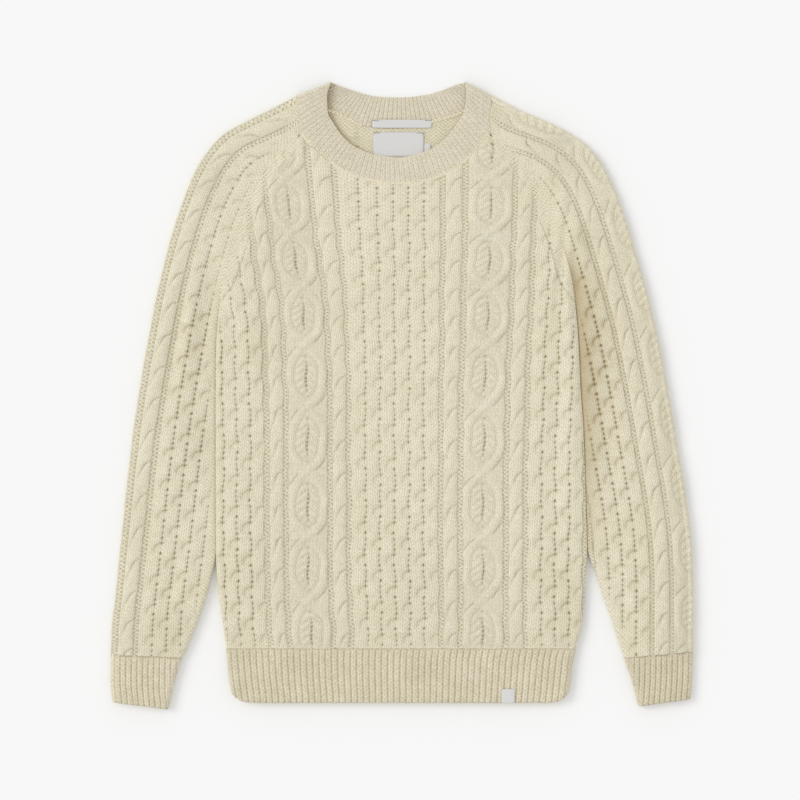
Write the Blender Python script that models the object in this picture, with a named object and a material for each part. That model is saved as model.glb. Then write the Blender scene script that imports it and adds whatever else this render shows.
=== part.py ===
"""Aran sweater laid flat on its back: raglan sleeves, ribbed neckband, cuffs and hem.

The knit is a thick wall. Its plain inside faces the other layer, and the cables, the lattice
and the ribs are raised in the outer points of the layer that lies on top.
X runs to the right, Y towards the collar and Z up. The origin is on the floor.
"""

import math
from collections import namedtuple

import bmesh
import bpy
import numpy as np

MM = 0.001

# Layers, in millimetres
WALL = 4.5
HOLLOW = 1.2
BACK_TOP = WALL
FRONT_IN = WALL + HOLLOW
FRONT_OUT = FRONT_IN + WALL
SEAM = 0.3
ROLL = 5.1
SIDE_EDGE_IN = BACK_TOP + SEAM
SIDE_EDGE_OUT = 6.6

# Lengths up the body
HEM_FOOT = -338.3
HEM_TOP = -279.0
ARMPIT_LOW = 62.0
ARMPIT_HIGH = 132.0
YOKE = 198.0
NECK_CORNER = 291.5
BACK_NECK_CORNER = 321.0
NECK_LEAN = {"left": -0.095, "right": 0.055}

# The knitted chart
CHART_CENTRE = -6.6
ROW_REPEAT = 35.6
LATTICE_CROSSING = 1.9
ROPE_CROSSING = -12.4
LEAF_CROSSING = -5.0
CENTRE_PITCH = 16.3
SIDE_PITCH = 15.0
LATTICE_RISE = 1.5
CROSSING_RISE = 1.6
ROPE_RISE = 2.6
LEAF_RISE = 2.6
RIB_RISE = 1.8
HEM_RIBS = 54
CUFF_RIBS = 11
BAND_RIB_PITCH = 6.0

# Grids of the walls
STEPS_PER_REPEAT = 3
YOKE_ROWS = 7
SLEEVE_STEP = 14.0
PILE = 0.8
OUTLINE_STEP = 9.0
NECK_REACH = 88.0
MOSS_WIDTH = 12.0

Edge = namedtuple("Edge", "y left right")
SIDE_EDGES = [
    Edge(y=-340.0, left=-181.0, right=180.0),
    Edge(y=-335.0, left=-184.0, right=182.0),
    Edge(y=-313.0, left=-190.5, right=186.0),
    Edge(y=-291.0, left=-192.5, right=188.5),
    Edge(y=-279.0, left=-193.5, right=191.5),
    Edge(y=-247.0, left=-198.0, right=199.0),
    Edge(y=-203.0, left=-203.5, right=202.0),
    Edge(y=-170.0, left=-205.2, right=204.0),
    Edge(y=-115.0, left=-205.5, right=202.4),
    Edge(y=-49.0, left=-205.7, right=200.5),
    Edge(y=14.0, left=-205.7, right=196.5),
    Edge(y=59.0, left=-205.0, right=194.5),
    Edge(y=93.0, left=-202.0, right=191.5),
    Edge(y=126.0, left=-197.5, right=187.0),
    Edge(y=153.5, left=-189.2, right=180.5),
    Edge(y=180.0, left=-180.5, right=171.5),
    Edge(y=206.0, left=-171.5, right=161.5),
    Edge(y=230.5, left=-160.6, right=149.6),
    Edge(y=252.5, left=-147.4, right=134.8),
    Edge(y=272.5, left=-130.5, right=116.0),
    Edge(y=NECK_CORNER, left=-111.5, right=96.0),
]

# A sleeve is one strip rolled into a flat tube: its seam edges lie beside the body down to the
# underarm and part from it below, and its fold is the outline's outer edge.
Section = namedtuple("Section", "seam_y off_body fold_x fold_y")
SLEEVE_SECTIONS = {
    "left": [
        Section(seam_y=291.0, off_body=0.8, fold_x=-116.0, fold_y=330.6),
        Section(seam_y=279.0, off_body=0.8, fold_x=-145.0, fold_y=315.0),
        Section(seam_y=264.5, off_body=0.8, fold_x=-172.5, fold_y=301.0),
        Section(seam_y=249.0, off_body=0.8, fold_x=-198.0, fold_y=286.5),
        Section(seam_y=230.5, off_body=0.8, fold_x=-216.5, fold_y=265.5),
        Section(seam_y=208.5, off_body=0.8, fold_x=-229.0, fold_y=243.5),
        Section(seam_y=183.0, off_body=0.8, fold_x=-240.0, fold_y=217.5),
        Section(seam_y=126.0, off_body=0.8, fold_x=-261.0, fold_y=149.0),
        Section(seam_y=59.0, off_body=0.8, fold_x=-276.5, fold_y=77.5),
        Section(seam_y=-49.0, off_body=0.8, fold_x=-296.0, fold_y=-40.0),
        Section(seam_y=-170.0, off_body=0.8, fold_x=-311.0, fold_y=-175.0),
        Section(seam_y=-203.0, off_body=7.5, fold_x=-315.0, fold_y=-214.0),
        Section(seam_y=-247.0, off_body=26.5, fold_x=-319.5, fold_y=-255.0),
        Section(seam_y=-289.0, off_body=49.5, fold_x=-321.0, fold_y=-285.5),
    ],
    "right": [
        Section(seam_y=291.0, off_body=0.8, fold_x=99.2, fold_y=330.6),
        Section(seam_y=279.0, off_body=0.8, fold_x=129.5, fold_y=314.0),
        Section(seam_y=264.5, off_body=0.8, fold_x=159.5, fold_y=301.0),
        Section(seam_y=249.0, off_body=0.8, fold_x=188.0, fold_y=286.5),
        Section(seam_y=230.5, off_body=0.8, fold_x=209.0, fold_y=269.0),
        Section(seam_y=208.5, off_body=0.8, fold_x=224.5, fold_y=246.5),
        Section(seam_y=183.0, off_body=0.8, fold_x=237.0, fold_y=218.5),
        Section(seam_y=126.0, off_body=0.8, fold_x=260.0, fold_y=147.0),
        Section(seam_y=59.0, off_body=0.8, fold_x=278.5, fold_y=77.5),
        Section(seam_y=-49.0, off_body=0.8, fold_x=300.5, fold_y=-40.0),
        Section(seam_y=-164.0, off_body=0.8, fold_x=319.0, fold_y=-170.0),
        Section(seam_y=-203.0, off_body=14.0, fold_x=320.5, fold_y=-214.0),
        Section(seam_y=-247.0, off_body=32.0, fold_x=320.5, fold_y=-252.0),
        Section(seam_y=-289.0, off_body=56.0, fold_x=320.5, fold_y=-282.0),
    ],
}
Cuff = namedtuple("Cuff", "seam_x seam_y fold_x fold_y")
CUFF_SECTIONS = {
    "left": [
        Cuff(seam_x=-243.0, seam_y=-289.6, fold_x=-321.0, fold_y=-286.1),
        Cuff(seam_x=-251.5, seam_y=-318.0, fold_x=-321.2, fold_y=-312.0),
        Cuff(seam_x=-257.5, seam_y=-345.5, fold_x=-319.0, fold_y=-337.5),
    ],
    "right": [
        Cuff(seam_x=244.7, seam_y=-289.6, fold_x=320.5, fold_y=-282.6),
        Cuff(seam_x=253.5, seam_y=-315.0, fold_x=320.0, fold_y=-308.0),
        Cuff(seam_x=260.5, seam_y=-342.0, fold_x=318.0, fold_y=-334.0),
    ],
}

# The neckband runs from the left shoulder fold to the right one, in front and behind.
Band = namedtuple("Band", "seam_x seam_y edge_x edge_y")
NECKBAND_FRONT = [
    Band(seam_x=-114.9, seam_y=330.6, edge_x=-78.0, edge_y=345.5),
    Band(seam_x=-112.8, seam_y=311.0, edge_x=-82.5, edge_y=329.0),
    Band(seam_x=-110.9, seam_y=291.5, edge_x=-81.5, edge_y=312.0),
    Band(seam_x=-99.0, seam_y=274.0, edge_x=-75.5, edge_y=300.0),
    Band(seam_x=-84.0, seam_y=261.0, edge_x=-64.5, edge_y=284.5),
    Band(seam_x=-61.0, seam_y=245.5, edge_x=-48.5, edge_y=272.0),
    Band(seam_x=-31.0, seam_y=236.5, edge_x=-26.5, edge_y=264.5),
    Band(seam_x=0.0, seam_y=233.5, edge_x=-3.0, edge_y=262.0),
    Band(seam_x=29.0, seam_y=237.5, edge_x=21.0, edge_y=267.0),
    Band(seam_x=55.0, seam_y=248.5, edge_x=40.5, edge_y=277.0),
    Band(seam_x=75.0, seam_y=263.5, edge_x=54.0, edge_y=290.5),
    Band(seam_x=87.5, seam_y=278.5, edge_x=64.0, edge_y=304.5),
    Band(seam_x=95.5, seam_y=292.0, edge_x=69.5, edge_y=318.0),
    Band(seam_x=96.7, seam_y=311.0, edge_x=70.8, edge_y=331.0),
    Band(seam_x=98.3, seam_y=330.4, edge_x=69.5, edge_y=345.5),
]
NECKBAND_BACK = [
    Band(seam_x=-114.9, seam_y=330.0, edge_x=-78.0, edge_y=345.0),
    Band(seam_x=-111.0, seam_y=322.0, edge_x=-68.0, edge_y=341.0),
    Band(seam_x=-76.0, seam_y=312.5, edge_x=-52.0, edge_y=335.5),
    Band(seam_x=-36.0, seam_y=296.0, edge_x=-27.0, edge_y=329.5),
    Band(seam_x=-2.0, seam_y=295.0, edge_x=-2.0, edge_y=328.5),
    Band(seam_x=38.0, seam_y=303.0, edge_x=27.0, edge_y=331.5),
    Band(seam_x=68.0, seam_y=312.0, edge_x=47.0, edge_y=337.5),
    Band(seam_x=95.0, seam_y=322.0, edge_x=60.0, edge_y=342.5),
    Band(seam_x=98.0, seam_y=330.0, edge_x=69.5, edge_y=345.0),
]

# Stripes of the chart, measured outwards from its centre line or inwards from a sleeve's fold.
Stripe = namedtuple("Stripe", "kind inner outer pitch")
FRONT_STRIPES = [
    Stripe(kind="lattice", inner=0.0, outer=48.9, pitch=CENTRE_PITCH),
    Stripe(kind="rope", inner=54.0, outer=69.5, pitch=None),
    Stripe(kind="leaf", inner=75.5, outer=121.0, pitch=None),
    Stripe(kind="rope", inner=125.5, outer=142.0, pitch=None),
    Stripe(kind="lattice", inner=145.0, outer=205.0, pitch=SIDE_PITCH),
]
SLEEVE_STRIPES = {
    "left": [
        Stripe(kind="rope", inner=8.5, outer=24.5, pitch=None),
        Stripe(kind="lattice", inner=31.0, outer=106.0, pitch=SIDE_PITCH),
    ],
    "right": [
        Stripe(kind="leaf", inner=-22.5, outer=21.5, pitch=None),
        Stripe(kind="rope", inner=26.0, outer=43.0, pitch=None),
        Stripe(kind="lattice", inner=48.0, outer=108.0, pitch=SIDE_PITCH),
    ],
}
STRIPE_SAMPLES = {"rope": (0.25, 0.75), "leaf": (0.1, 0.3, 0.5, 0.7, 0.9)}

# Soft folds that run down the body by the armpits and along the sleeves.
Fold = namedtuple("Fold", "x y length width rise")
BODY_FOLDS = [
    Fold(x=-188.0, y=104.0, length=70.0, width=9.0, rise=1.2),
    Fold(x=171.0, y=120.0, length=80.0, width=10.0, rise=1.4),
    Fold(x=158.0, y=-30.0, length=120.0, width=16.0, rise=0.7),
    Fold(x=-176.0, y=-60.0, length=130.0, width=15.0, rise=0.7),
]

Patch = namedtuple("Patch", "name x y width height z thickness colour")
LABELS = [
    Patch("neck_label", -3.8, 276.4, 56.0, 27.4, BACK_TOP + SEAM, 0.6, "label"),
    Patch("neck_strip", 0.0, 299.3, 66.0, 9.0, BACK_TOP + SEAM, 0.6, "label"),
    Patch("size_tab", 27.9, 273.0, 6.6, 10.0, BACK_TOP + SEAM, 0.6, "label"),
    Patch("hem_tab", 116.7, -330.4, 14.3, 15.6, FRONT_OUT + RIB_RISE + SEAM, 0.6, "label"),
]

Finish = namedtuple("Finish", "red green blue roughness")
FINISHES = {
    "cream_wool": Finish(red=0.730, green=0.680, blue=0.515, roughness=0.9),
    "rib_wool": Finish(red=0.740, green=0.690, blue=0.530, roughness=0.9),
    "label": Finish(red=0.690, green=0.690, blue=0.672, roughness=0.6),
}


def through(knots, values, at):
    """A smooth curve through the values at rising knots, which never overshoots them."""
    knots, values, at = (np.asarray(a, float) for a in (knots, values, at))
    step = np.diff(knots)
    rise = np.diff(values) / step
    slope = np.zeros_like(values)
    same = rise[:-1] * rise[1:] > 0
    mean = 2 * rise[:-1] * rise[1:] / np.where(same, rise[:-1] + rise[1:], 1)
    slope[1:-1] = np.where(same, mean, 0)
    slope[0], slope[-1] = rise[0], rise[-1]
    i = np.clip(np.searchsorted(knots, at, side="right") - 1, 0, len(step) - 1)
    t = np.clip((at - knots[i]) / step[i], 0, 1)
    start = (1 + 2 * t) * (1 - t) ** 2 * values[i] + t * (1 - t) ** 2 * step[i] * slope[i]
    end = t * t * (3 - 2 * t) * values[i + 1] - t * t * (1 - t) * step[i] * slope[i + 1]
    return start + end


def column(table, name):
    return [getattr(row, name) for row in table]


def side_edge(side, y):
    """The body's outline at a height: the side seam, the raglan seam, then the sleeve's neck end."""
    above = np.maximum(np.asarray(y, float) - NECK_CORNER, 0)
    return through(column(SIDE_EDGES, "y"), column(SIDE_EDGES, side), y) + NECK_LEAN[side] * above


def ease(low, high, value):
    t = np.clip((np.asarray(value, float) - low) / (high - low), 0, 1)
    return t * t * (3 - 2 * t)


def rolled(y):
    """0 where a layer's edge butts its neighbour at the raglan, 1 where it rolls down to a seam."""
    return 1 - ease(ARMPIT_LOW, ARMPIT_HIGH, y)


def chart_spread(y):
    """The knit is looser over the chest, so its stripes spread towards the neck."""
    return 1 + 0.13 * ease(-40.0, 215.0, y) + 0.08 * ease(200.0, 300.0, y)


def bump(distance, width):
    return np.exp(-((np.asarray(distance, float) / width) ** 2))


def repeats_from(y, start, repeat=ROW_REPEAT):
    """Signed distance from the nearest crossing."""
    return (y - start + repeat / 2) % repeat - repeat / 2


def lattice_rise(offset, y, stripe):
    """Columns that bulge between lines of holes, tied across the lines in brick order."""
    line = offset / stripe.pitch
    nearest = np.round(line)
    start = LATTICE_CROSSING - (nearest % 2) * ROW_REPEAT / 2
    column_rise = LATTICE_RISE * np.sin(math.pi * line) ** 2
    tie = bump(repeats_from(y, start), 7.5) * np.cos(math.pi * (line - nearest)) ** 2
    return column_rise + (LATTICE_RISE + CROSSING_RISE) * 0.8 * tie


def rope_rise(share, y):
    """Two strands that change places once a repeat."""
    turn = 2 * math.pi * (y - ROPE_CROSSING) / ROW_REPEAT
    lead = 0.5 + 0.5 * np.cos(turn + math.pi * (share - 0.5) * 2)
    return ROPE_RISE * np.sin(math.pi * share) ** 0.7 * (0.6 + 0.4 * lead)


def leaf_rise(share, y):
    """Outer strands that part round a leaf and cross above and below it."""
    away = np.abs(repeats_from(y, LEAF_CROSSING, 2 * ROW_REPEAT)) / ROW_REPEAT
    strand_place = 0.12 + 0.3 * ease(0.0, 0.55, away)
    strand = bump(np.abs(share - 0.5) - strand_place, 0.13)
    crossing = bump(away, 0.22) * bump(share - 0.5, 0.3)
    leaf = 0.55 * bump(away - 1, 0.5) * bump(np.abs(share - 0.5) - 0.16, 0.12)
    return LEAF_RISE * np.clip(strand + 0.5 * crossing + leaf, 0, 1.25) * 0.85


def chart_rise(stripes, offset, y):
    """Height of the knitted pattern over the plain wall, at a distance across the stripes."""
    offset, y = np.broadcast_arrays(np.asarray(offset, float), np.asarray(y, float))
    total = np.zeros_like(offset)
    for stripe in stripes:
        inside = (offset >= stripe.inner) & (offset <= stripe.outer)
        share = np.clip((offset - stripe.inner) / (stripe.outer - stripe.inner), 0, 1)
        if stripe.kind == "lattice":
            rise = lattice_rise(offset - stripe.inner, y, stripe)
        elif stripe.kind == "rope":
            rise = rope_rise(share, y)
        else:
            rise = leaf_rise(share, y)
        total = np.where(inside, rise, total)
    return total


def stripe_columns(stripes):
    """Grid columns that fall on the crests and valleys of each stripe."""
    places = []
    for stripe, after in zip(stripes, stripes[1:] + [None]):
        width = stripe.outer - stripe.inner
        if stripe.kind == "lattice":
            count = int(round(width / stripe.pitch * 2))
            places += [stripe.inner + stripe.pitch / 2 * k for k in range(1, count)]
        else:
            places += [stripe.inner + width * t for t in STRIPE_SAMPLES[stripe.kind]]
        if after:
            places.append((stripe.outer + after.inner) / 2)
    return places


def fold_rise(folds, x, y):
    total = 0
    for fold in folds:
        total = total + fold.rise * bump(x - fold.x, fold.width) * bump(y - fold.y, fold.length)
    return total


def rib_rise(turns):
    """Rounded ribs with narrow grooves: the grooves are at whole turns."""
    return RIB_RISE * np.abs(np.sin(math.pi * np.asarray(turns, float))) ** 0.6


def material(name):
    """A knit or woven finish, with the colour seen in daylight."""
    found = bpy.data.materials.get(name)
    if found:
        return found
    finish = FINISHES[name]
    made = bpy.data.materials.new(name)
    made.use_nodes = True
    shader = made.node_tree.nodes["Principled BSDF"]
    shader.inputs["Base Color"].default_value = (finish.red, finish.green, finish.blue, 1)
    shader.inputs["Roughness"].default_value = finish.roughness
    shader.inputs["Metallic"].default_value = 0
    return made


def add_object(name, mesh_builder, finish):
    bmesh.ops.recalc_face_normals(mesh_builder, faces=mesh_builder.faces)
    mesh = bpy.data.meshes.new(name)
    mesh_builder.to_mesh(mesh)
    mesh_builder.free()
    mesh.shade_smooth()
    mesh.set_sharp_from_angle(angle=math.radians(40))
    mesh.materials.append(material(finish))
    made = bpy.data.objects.new(name, mesh)
    bpy.context.collection.objects.link(made)
    return made


def add_fan(builder, outer, inner, picks):
    """Closes the edge between a fine border and a coarse one whose points are at the picks."""
    for k in range(len(picks) - 1):
        low, high = picks[k], picks[k + 1]
        middle = (low + high + 1) // 2
        for j in range(low, high):
            tip = inner[k] if j < middle else inner[k + 1]
            builder.faces.new((outer[j], outer[j + 1], tip))
        builder.faces.new((outer[middle], inner[k + 1], inner[k]))


def add_wall(name, outer, inner, row_picks, column_picks, finish):
    """A closed wall: a fine outer grid of points in millimetres over a coarse inner one."""
    builder = bmesh.new()
    top = [[builder.verts.new(np.asarray(p) * MM) for p in row] for row in outer]
    under = [[builder.verts.new(np.asarray(p) * MM) for p in row] for row in inner]
    for grid in (top, under):
        for row, after in zip(grid, grid[1:]):
            for k in range(len(row) - 1):
                builder.faces.new((row[k], row[k + 1], after[k + 1], after[k]))
    add_fan(builder, top[0], under[0], column_picks)
    add_fan(builder, top[-1], under[-1], column_picks)
    add_fan(builder, [row[0] for row in top], [row[0] for row in under], row_picks)
    add_fan(builder, [row[-1] for row in top], [row[-1] for row in under], row_picks)
    bmesh.ops.triangulate(builder, faces=[f for f in builder.faces if len(f.verts) > 3])
    return add_object(name, builder, finish)


def picks_of(count, step):
    """Every so many indices, with both ends."""
    return sorted({*range(0, count - 1, step), count - 1})


def laid_across(columns, y, edge_margin):
    """Column places at one height, piled up beside the seam where the outline narrows."""
    left, right = side_edge("left", y), side_edge("right", y)
    place = CHART_CENTRE + chart_spread(y) * np.asarray(columns)
    count = len(columns)
    rank = np.arange(count)
    place = np.maximum(place, left + edge_margin + PILE * (rank + 1))
    place = np.minimum(place, right - edge_margin - PILE * (count - rank))
    rim = edge_margin * 0.3
    return np.concatenate([
        [left, left + rim, left + edge_margin], place, [right - edge_margin, right - rim, right]
    ])


def edge_distance(x, y):
    return np.minimum(x - side_edge("left", y), side_edge("right", y) - x)


def front_top(x, y):
    """Outer face of the front: the chart over the plain wall, rolled down at the side seams."""
    inwards = edge_distance(x, y)
    away = np.clip(1 - inwards / ROLL, 0, 1)
    roll = (FRONT_OUT - SIDE_EDGE_OUT) * (1 - np.sqrt(1 - away**2)) * rolled(y)
    chart = chart_rise(FRONT_STRIPES, np.abs(x - CHART_CENTRE) / chart_spread(y), y)
    moss = ease(0, ROLL + MOSS_WIDTH * (1 - rolled(y)), inwards)
    return FRONT_OUT - roll + chart * moss + fold_rise(BODY_FOLDS, x, y)


def neckline(table, corner, gap, x):
    """Height of a panel's neck edge, a gap below the neckband's seam."""
    seam = band_line(table, np.linspace(0, 1, 400))[0]
    return np.minimum(np.interp(x, seam[:, 0], seam[:, 1]), corner) - gap


def front_neckline(x):
    return neckline(NECKBAND_FRONT, NECK_CORNER, 3 * SEAM, x)


def back_neckline(x):
    return neckline(NECKBAND_BACK, BACK_NECK_CORNER, 3 * SEAM, x)


def panel_rows(columns, rows, yoke_rows, neck, margin):
    """Rows of (x, y) from the hem to the neck edge, straight below the yoke and fanned above."""
    grid = []
    for y in rows:
        x = laid_across(columns, y, margin)
        grid.append(np.stack([x, np.full_like(x, y)], axis=1))
    base = grid[-1]
    neck_x = laid_across(columns, NECK_CORNER, margin)
    neck_y = neck(neck_x)
    for k in range(1, yoke_rows + 1):
        y = base[:, 1] + (neck_y - base[:, 1]) * k / yoke_rows
        x = np.array([laid_across(columns, at, margin)[i] for i, at in enumerate(y)])
        if k == yoke_rows:
            x = neck_x
        grid.append(np.stack([x, y], axis=1))
    return grid


def build_front():
    """The upper layer, cabled all over its outer face."""
    half = stripe_columns(FRONT_STRIPES)
    columns = [-c for c in reversed(half)] + [0.0] + half
    step = ROW_REPEAT / STEPS_PER_REPEAT
    first = math.ceil((HEM_TOP + step / 2 - LATTICE_CROSSING) / step)
    last = math.floor((YOKE - LATTICE_CROSSING) / step)
    rows = [HEM_TOP] + [LATTICE_CROSSING + step * k for k in range(first, last + 1)]
    flat = panel_rows(columns, rows, YOKE_ROWS, front_neckline, ROLL)
    outer = [[(x, y, front_top(x, y)) for x, y in row] for row in flat]
    row_picks = picks_of(len(outer) - YOKE_ROWS, 6) + [len(outer) - 1]
    last = len(outer[0]) - 1
    to_neck = [k + 3 for k, c in enumerate(columns) if abs(c) < NECK_REACH]
    column_picks = sorted({0, 2, last - 2, last, *to_neck})
    inner = []
    for r in row_picks:
        row = []
        for c in column_picks:
            x, y = flat[r][c]
            edge = c in (0, len(flat[r]) - 1)
            drop = (FRONT_IN - SIDE_EDGE_IN) * rolled(y) if edge else 0
            row.append((x, y, FRONT_IN - drop))
        inner.append(row)
    add_wall("front_panel", outer, inner, row_picks, column_picks, "cream_wool")


def add_slab(name, outline, finish):
    """A flat wall on the floor, as thick as the plain knit, with straight sides."""
    builder = bmesh.new()
    base = builder.faces.new([builder.verts.new((x * MM, y * MM, 0)) for x, y in outline])
    raised = bmesh.ops.extrude_face_region(builder, geom=[base])["geom"]
    corners = [v for v in raised if isinstance(v, bmesh.types.BMVert)]
    bmesh.ops.translate(builder, vec=(0, 0, BACK_TOP * MM), verts=corners)
    bmesh.ops.triangulate(builder, faces=builder.faces)
    return add_object(name, builder, finish)


def side_run(side, low, high):
    """Points up one side of the body, with the corner at the foot of the neckband kept."""
    count = int((min(high, NECK_CORNER) - low) / OUTLINE_STEP) + 1
    heights = [*np.linspace(low, min(high, NECK_CORNER), count)]
    if high > NECK_CORNER:
        heights.append(high)
    return [(float(side_edge(side, y)), float(y)) for y in heights]


def build_back():
    """The lower layer: flat below, where it rests, and plain above, where its purl side shows."""
    left = side_run("left", HEM_TOP, BACK_NECK_CORNER - 3 * SEAM)
    right = side_run("right", HEM_TOP, BACK_NECK_CORNER - 3 * SEAM)
    across = np.linspace(left[-1][0], right[-1][0], 34)
    neck = list(zip(across, back_neckline(across)))[1:-1]
    add_slab("back_panel", left + neck + right[::-1], "cream_wool")


def tube_section(width, crests, closed, raised):
    """Outer and inner points (across, z) of a flat rolled strip, from one seam edge to the other.

    Across is 0 at the seam and the width at the outer fold. The crests are distances from the
    fold, and raised gives the height of the knit there."""
    half = FRONT_OUT / 2
    edge_z = FRONT_OUT - (FRONT_OUT - half - 1.5) * closed
    curl_z = FRONT_OUT - (FRONT_OUT - half - 1.5) * closed * (1 - math.sqrt(1 - 0.49))
    rank = np.arange(len(crests))
    place = np.maximum(width - np.asarray(crests), ROLL + PILE * (len(crests) - rank))
    place = place[::-1]
    top = [(0.0, edge_z), (0.3 * ROLL, curl_z), (ROLL, FRONT_OUT)]
    top += [(q, FRONT_OUT + raised(width - q)) for q in place]
    fold = []
    for k in range(5):
        turn = math.pi / 4 * k
        fold.append((width - ROLL + ROLL * math.sin(turn), half + half * math.cos(turn)))
    mirror = [(q, FRONT_OUT - z) for q, z in top[:3]]
    outer = top + fold + [(width / 2, 0.0)] + mirror[::-1]
    seam_z = (HOLLOW - SEAM) / 2 * closed
    inner = [
        (0.0, FRONT_IN - seam_z),
        (ROLL, FRONT_IN),
        (width - ROLL, FRONT_IN),
        (width - ROLL + HOLLOW / 2, half),
        (width - ROLL, BACK_TOP),
        (ROLL, BACK_TOP),
        (0.0, BACK_TOP + seam_z),
    ]
    folded = len(top)
    column_picks = [0, 2, folded, folded + 2, folded + 4, len(outer) - 3, len(outer) - 1]
    return outer, inner, column_picks


def placed(section, seam, fold):
    """Points of a section, set between its seam edge and its outer fold."""
    seam, fold = np.asarray(seam, float), np.asarray(fold, float)
    along = (fold - seam) / np.linalg.norm(fold - seam)
    return [(*(seam + along * q), z) for q, z in section]


def sleeve_lines(side, seam_y):
    table = SLEEVE_SECTIONS[side][::-1]
    outwards = -1 if side == "left" else 1
    knots = column(table, "seam_y")
    off = through(knots, column(table, "off_body"), seam_y)
    seam_x = side_edge(side, seam_y) + outwards * off
    fold_x = through(knots, column(table, "fold_x"), seam_y)
    fold_y = through(knots, column(table, "fold_y"), seam_y)
    seam = np.stack([seam_x, np.asarray(seam_y, float)], axis=-1)
    return seam, np.stack([fold_x, fold_y], axis=-1)


def build_sleeve(side):
    table = SLEEVE_SECTIONS[side]
    fine = np.linspace(table[0].seam_y, table[-1].seam_y, 400)
    seam, fold = sleeve_lines(side, fine)
    middle = (seam + fold) / 2
    run = np.concatenate([[0], np.cumsum(np.linalg.norm(np.diff(middle, axis=0), axis=1))])
    count = int(run[-1] / SLEEVE_STEP) + 1
    stations = np.interp(np.linspace(0, run[-1], count), run, fine)
    seam, fold = sleeve_lines(side, stations)
    down = np.linspace(0, run[-1], count)
    stripes = SLEEVE_STRIPES[side]
    crests = [c for c in stripe_columns(stripes) if c > ROLL + PILE]
    outer, inner = [], []
    for k, y in enumerate(stations):
        width = np.linalg.norm(fold[k] - seam[k])
        calm = ease(0, 30, down[k])

        def raised(offset, at=-down[k], calm=calm, width=width):
            near_seam = ease(0, ROLL + MOSS_WIDTH, width - offset)
            return float(chart_rise(stripes, offset, at) * near_seam * calm)

        out, within, column_picks = tube_section(width, crests, float(rolled(y)), raised)
        outer.append(placed(out, seam[k], fold[k]))
        inner.append(placed(within, seam[k], fold[k]))
    row_picks = list(range(count))
    add_wall("sleeve_" + side, outer, inner, row_picks, column_picks, "cream_wool")


def build_cuff(side):
    outer, inner = [], []
    for row in CUFF_SECTIONS[side]:
        seam, fold = (row.seam_x, row.seam_y), (row.fold_x, row.fold_y)
        width = math.dist(seam, fold)
        span = width - 2 * ROLL
        crests = [ROLL + span * k / (2 * CUFF_RIBS) for k in range(1, 2 * CUFF_RIBS)]

        def raised(offset, span=span):
            return float(rib_rise((offset - ROLL) / span * CUFF_RIBS))

        out, within, column_picks = tube_section(width, crests, 1.0, raised)
        outer.append(placed(out, seam, fold))
        inner.append(placed(within, seam, fold))
    picks = list(range(len(outer)))
    add_wall("cuff_" + side, outer, inner, picks, column_picks, "rib_wool")


def hem_outline(y, count):
    """Column places across the hem, and their heights with the rounded lower corners."""
    left, right = side_edge("left", y), side_edge("right", y)
    span = right - left - 2 * ROLL
    ribs = left + ROLL + span * np.arange(count + 1) / count
    return np.concatenate([[left, left + 0.3 * ROLL], ribs, [right - 0.3 * ROLL, right]])


def build_hem():
    top_y = HEM_TOP - 2 * SEAM
    middle_y = (HEM_TOP + HEM_FOOT) / 2
    front = []
    for y in (top_y, middle_y, HEM_FOOT):
        x = hem_outline(y, 2 * HEM_RIBS)
        corner = 9.0 * bump(x - x[0], 6.0) + 9.0 * bump(x - x[-1], 6.0)
        rows = y + corner * (y == HEM_FOOT)
        away = np.clip(1 - np.minimum(x - x[0], x[-1] - x) / ROLL, 0, 1)
        roll = (FRONT_OUT - SIDE_EDGE_OUT) * (1 - np.sqrt(1 - away**2))
        ribs = np.zeros_like(x)
        ribs[2:-2] = rib_rise(np.arange(2 * HEM_RIBS + 1) / 2)
        front.append(np.stack([x, rows, FRONT_OUT - roll + ribs], axis=1))
    count = len(front[0])
    column_picks = sorted({0, 2, count - 3, count - 1, *range(2, count - 3, 9)})
    row_picks = [0, 1, 2]
    inner = []
    for row in front:
        line = row[column_picks].copy()
        line[:, 2] = FRONT_IN
        line[[0, -1], 2] = SIDE_EDGE_IN
        inner.append(line)
    add_wall("hem_front", front, inner, row_picks, column_picks, "rib_wool")
    sides = [side_run(side, HEM_FOOT, top_y) for side in ("left", "right")]
    foot = front[-1][2:-2:9, :2].tolist()
    add_slab("hem_back", [p for p in sides[0][1:]][::-1] + foot + sides[1][1:], "rib_wool")


def band_line(table, share):
    """The seam and the free edge of a neckband, at a share of its length."""
    seam = np.array([(row.seam_x, row.seam_y) for row in table])
    run = np.concatenate([[0], np.cumsum(np.linalg.norm(np.diff(seam, axis=0), axis=1))])
    knots = run / run[-1]
    lines = [through(knots, column(table, name), share) for name in Band._fields]
    return np.stack(lines[:2], axis=-1), np.stack(lines[2:], axis=-1), run[-1]


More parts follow.
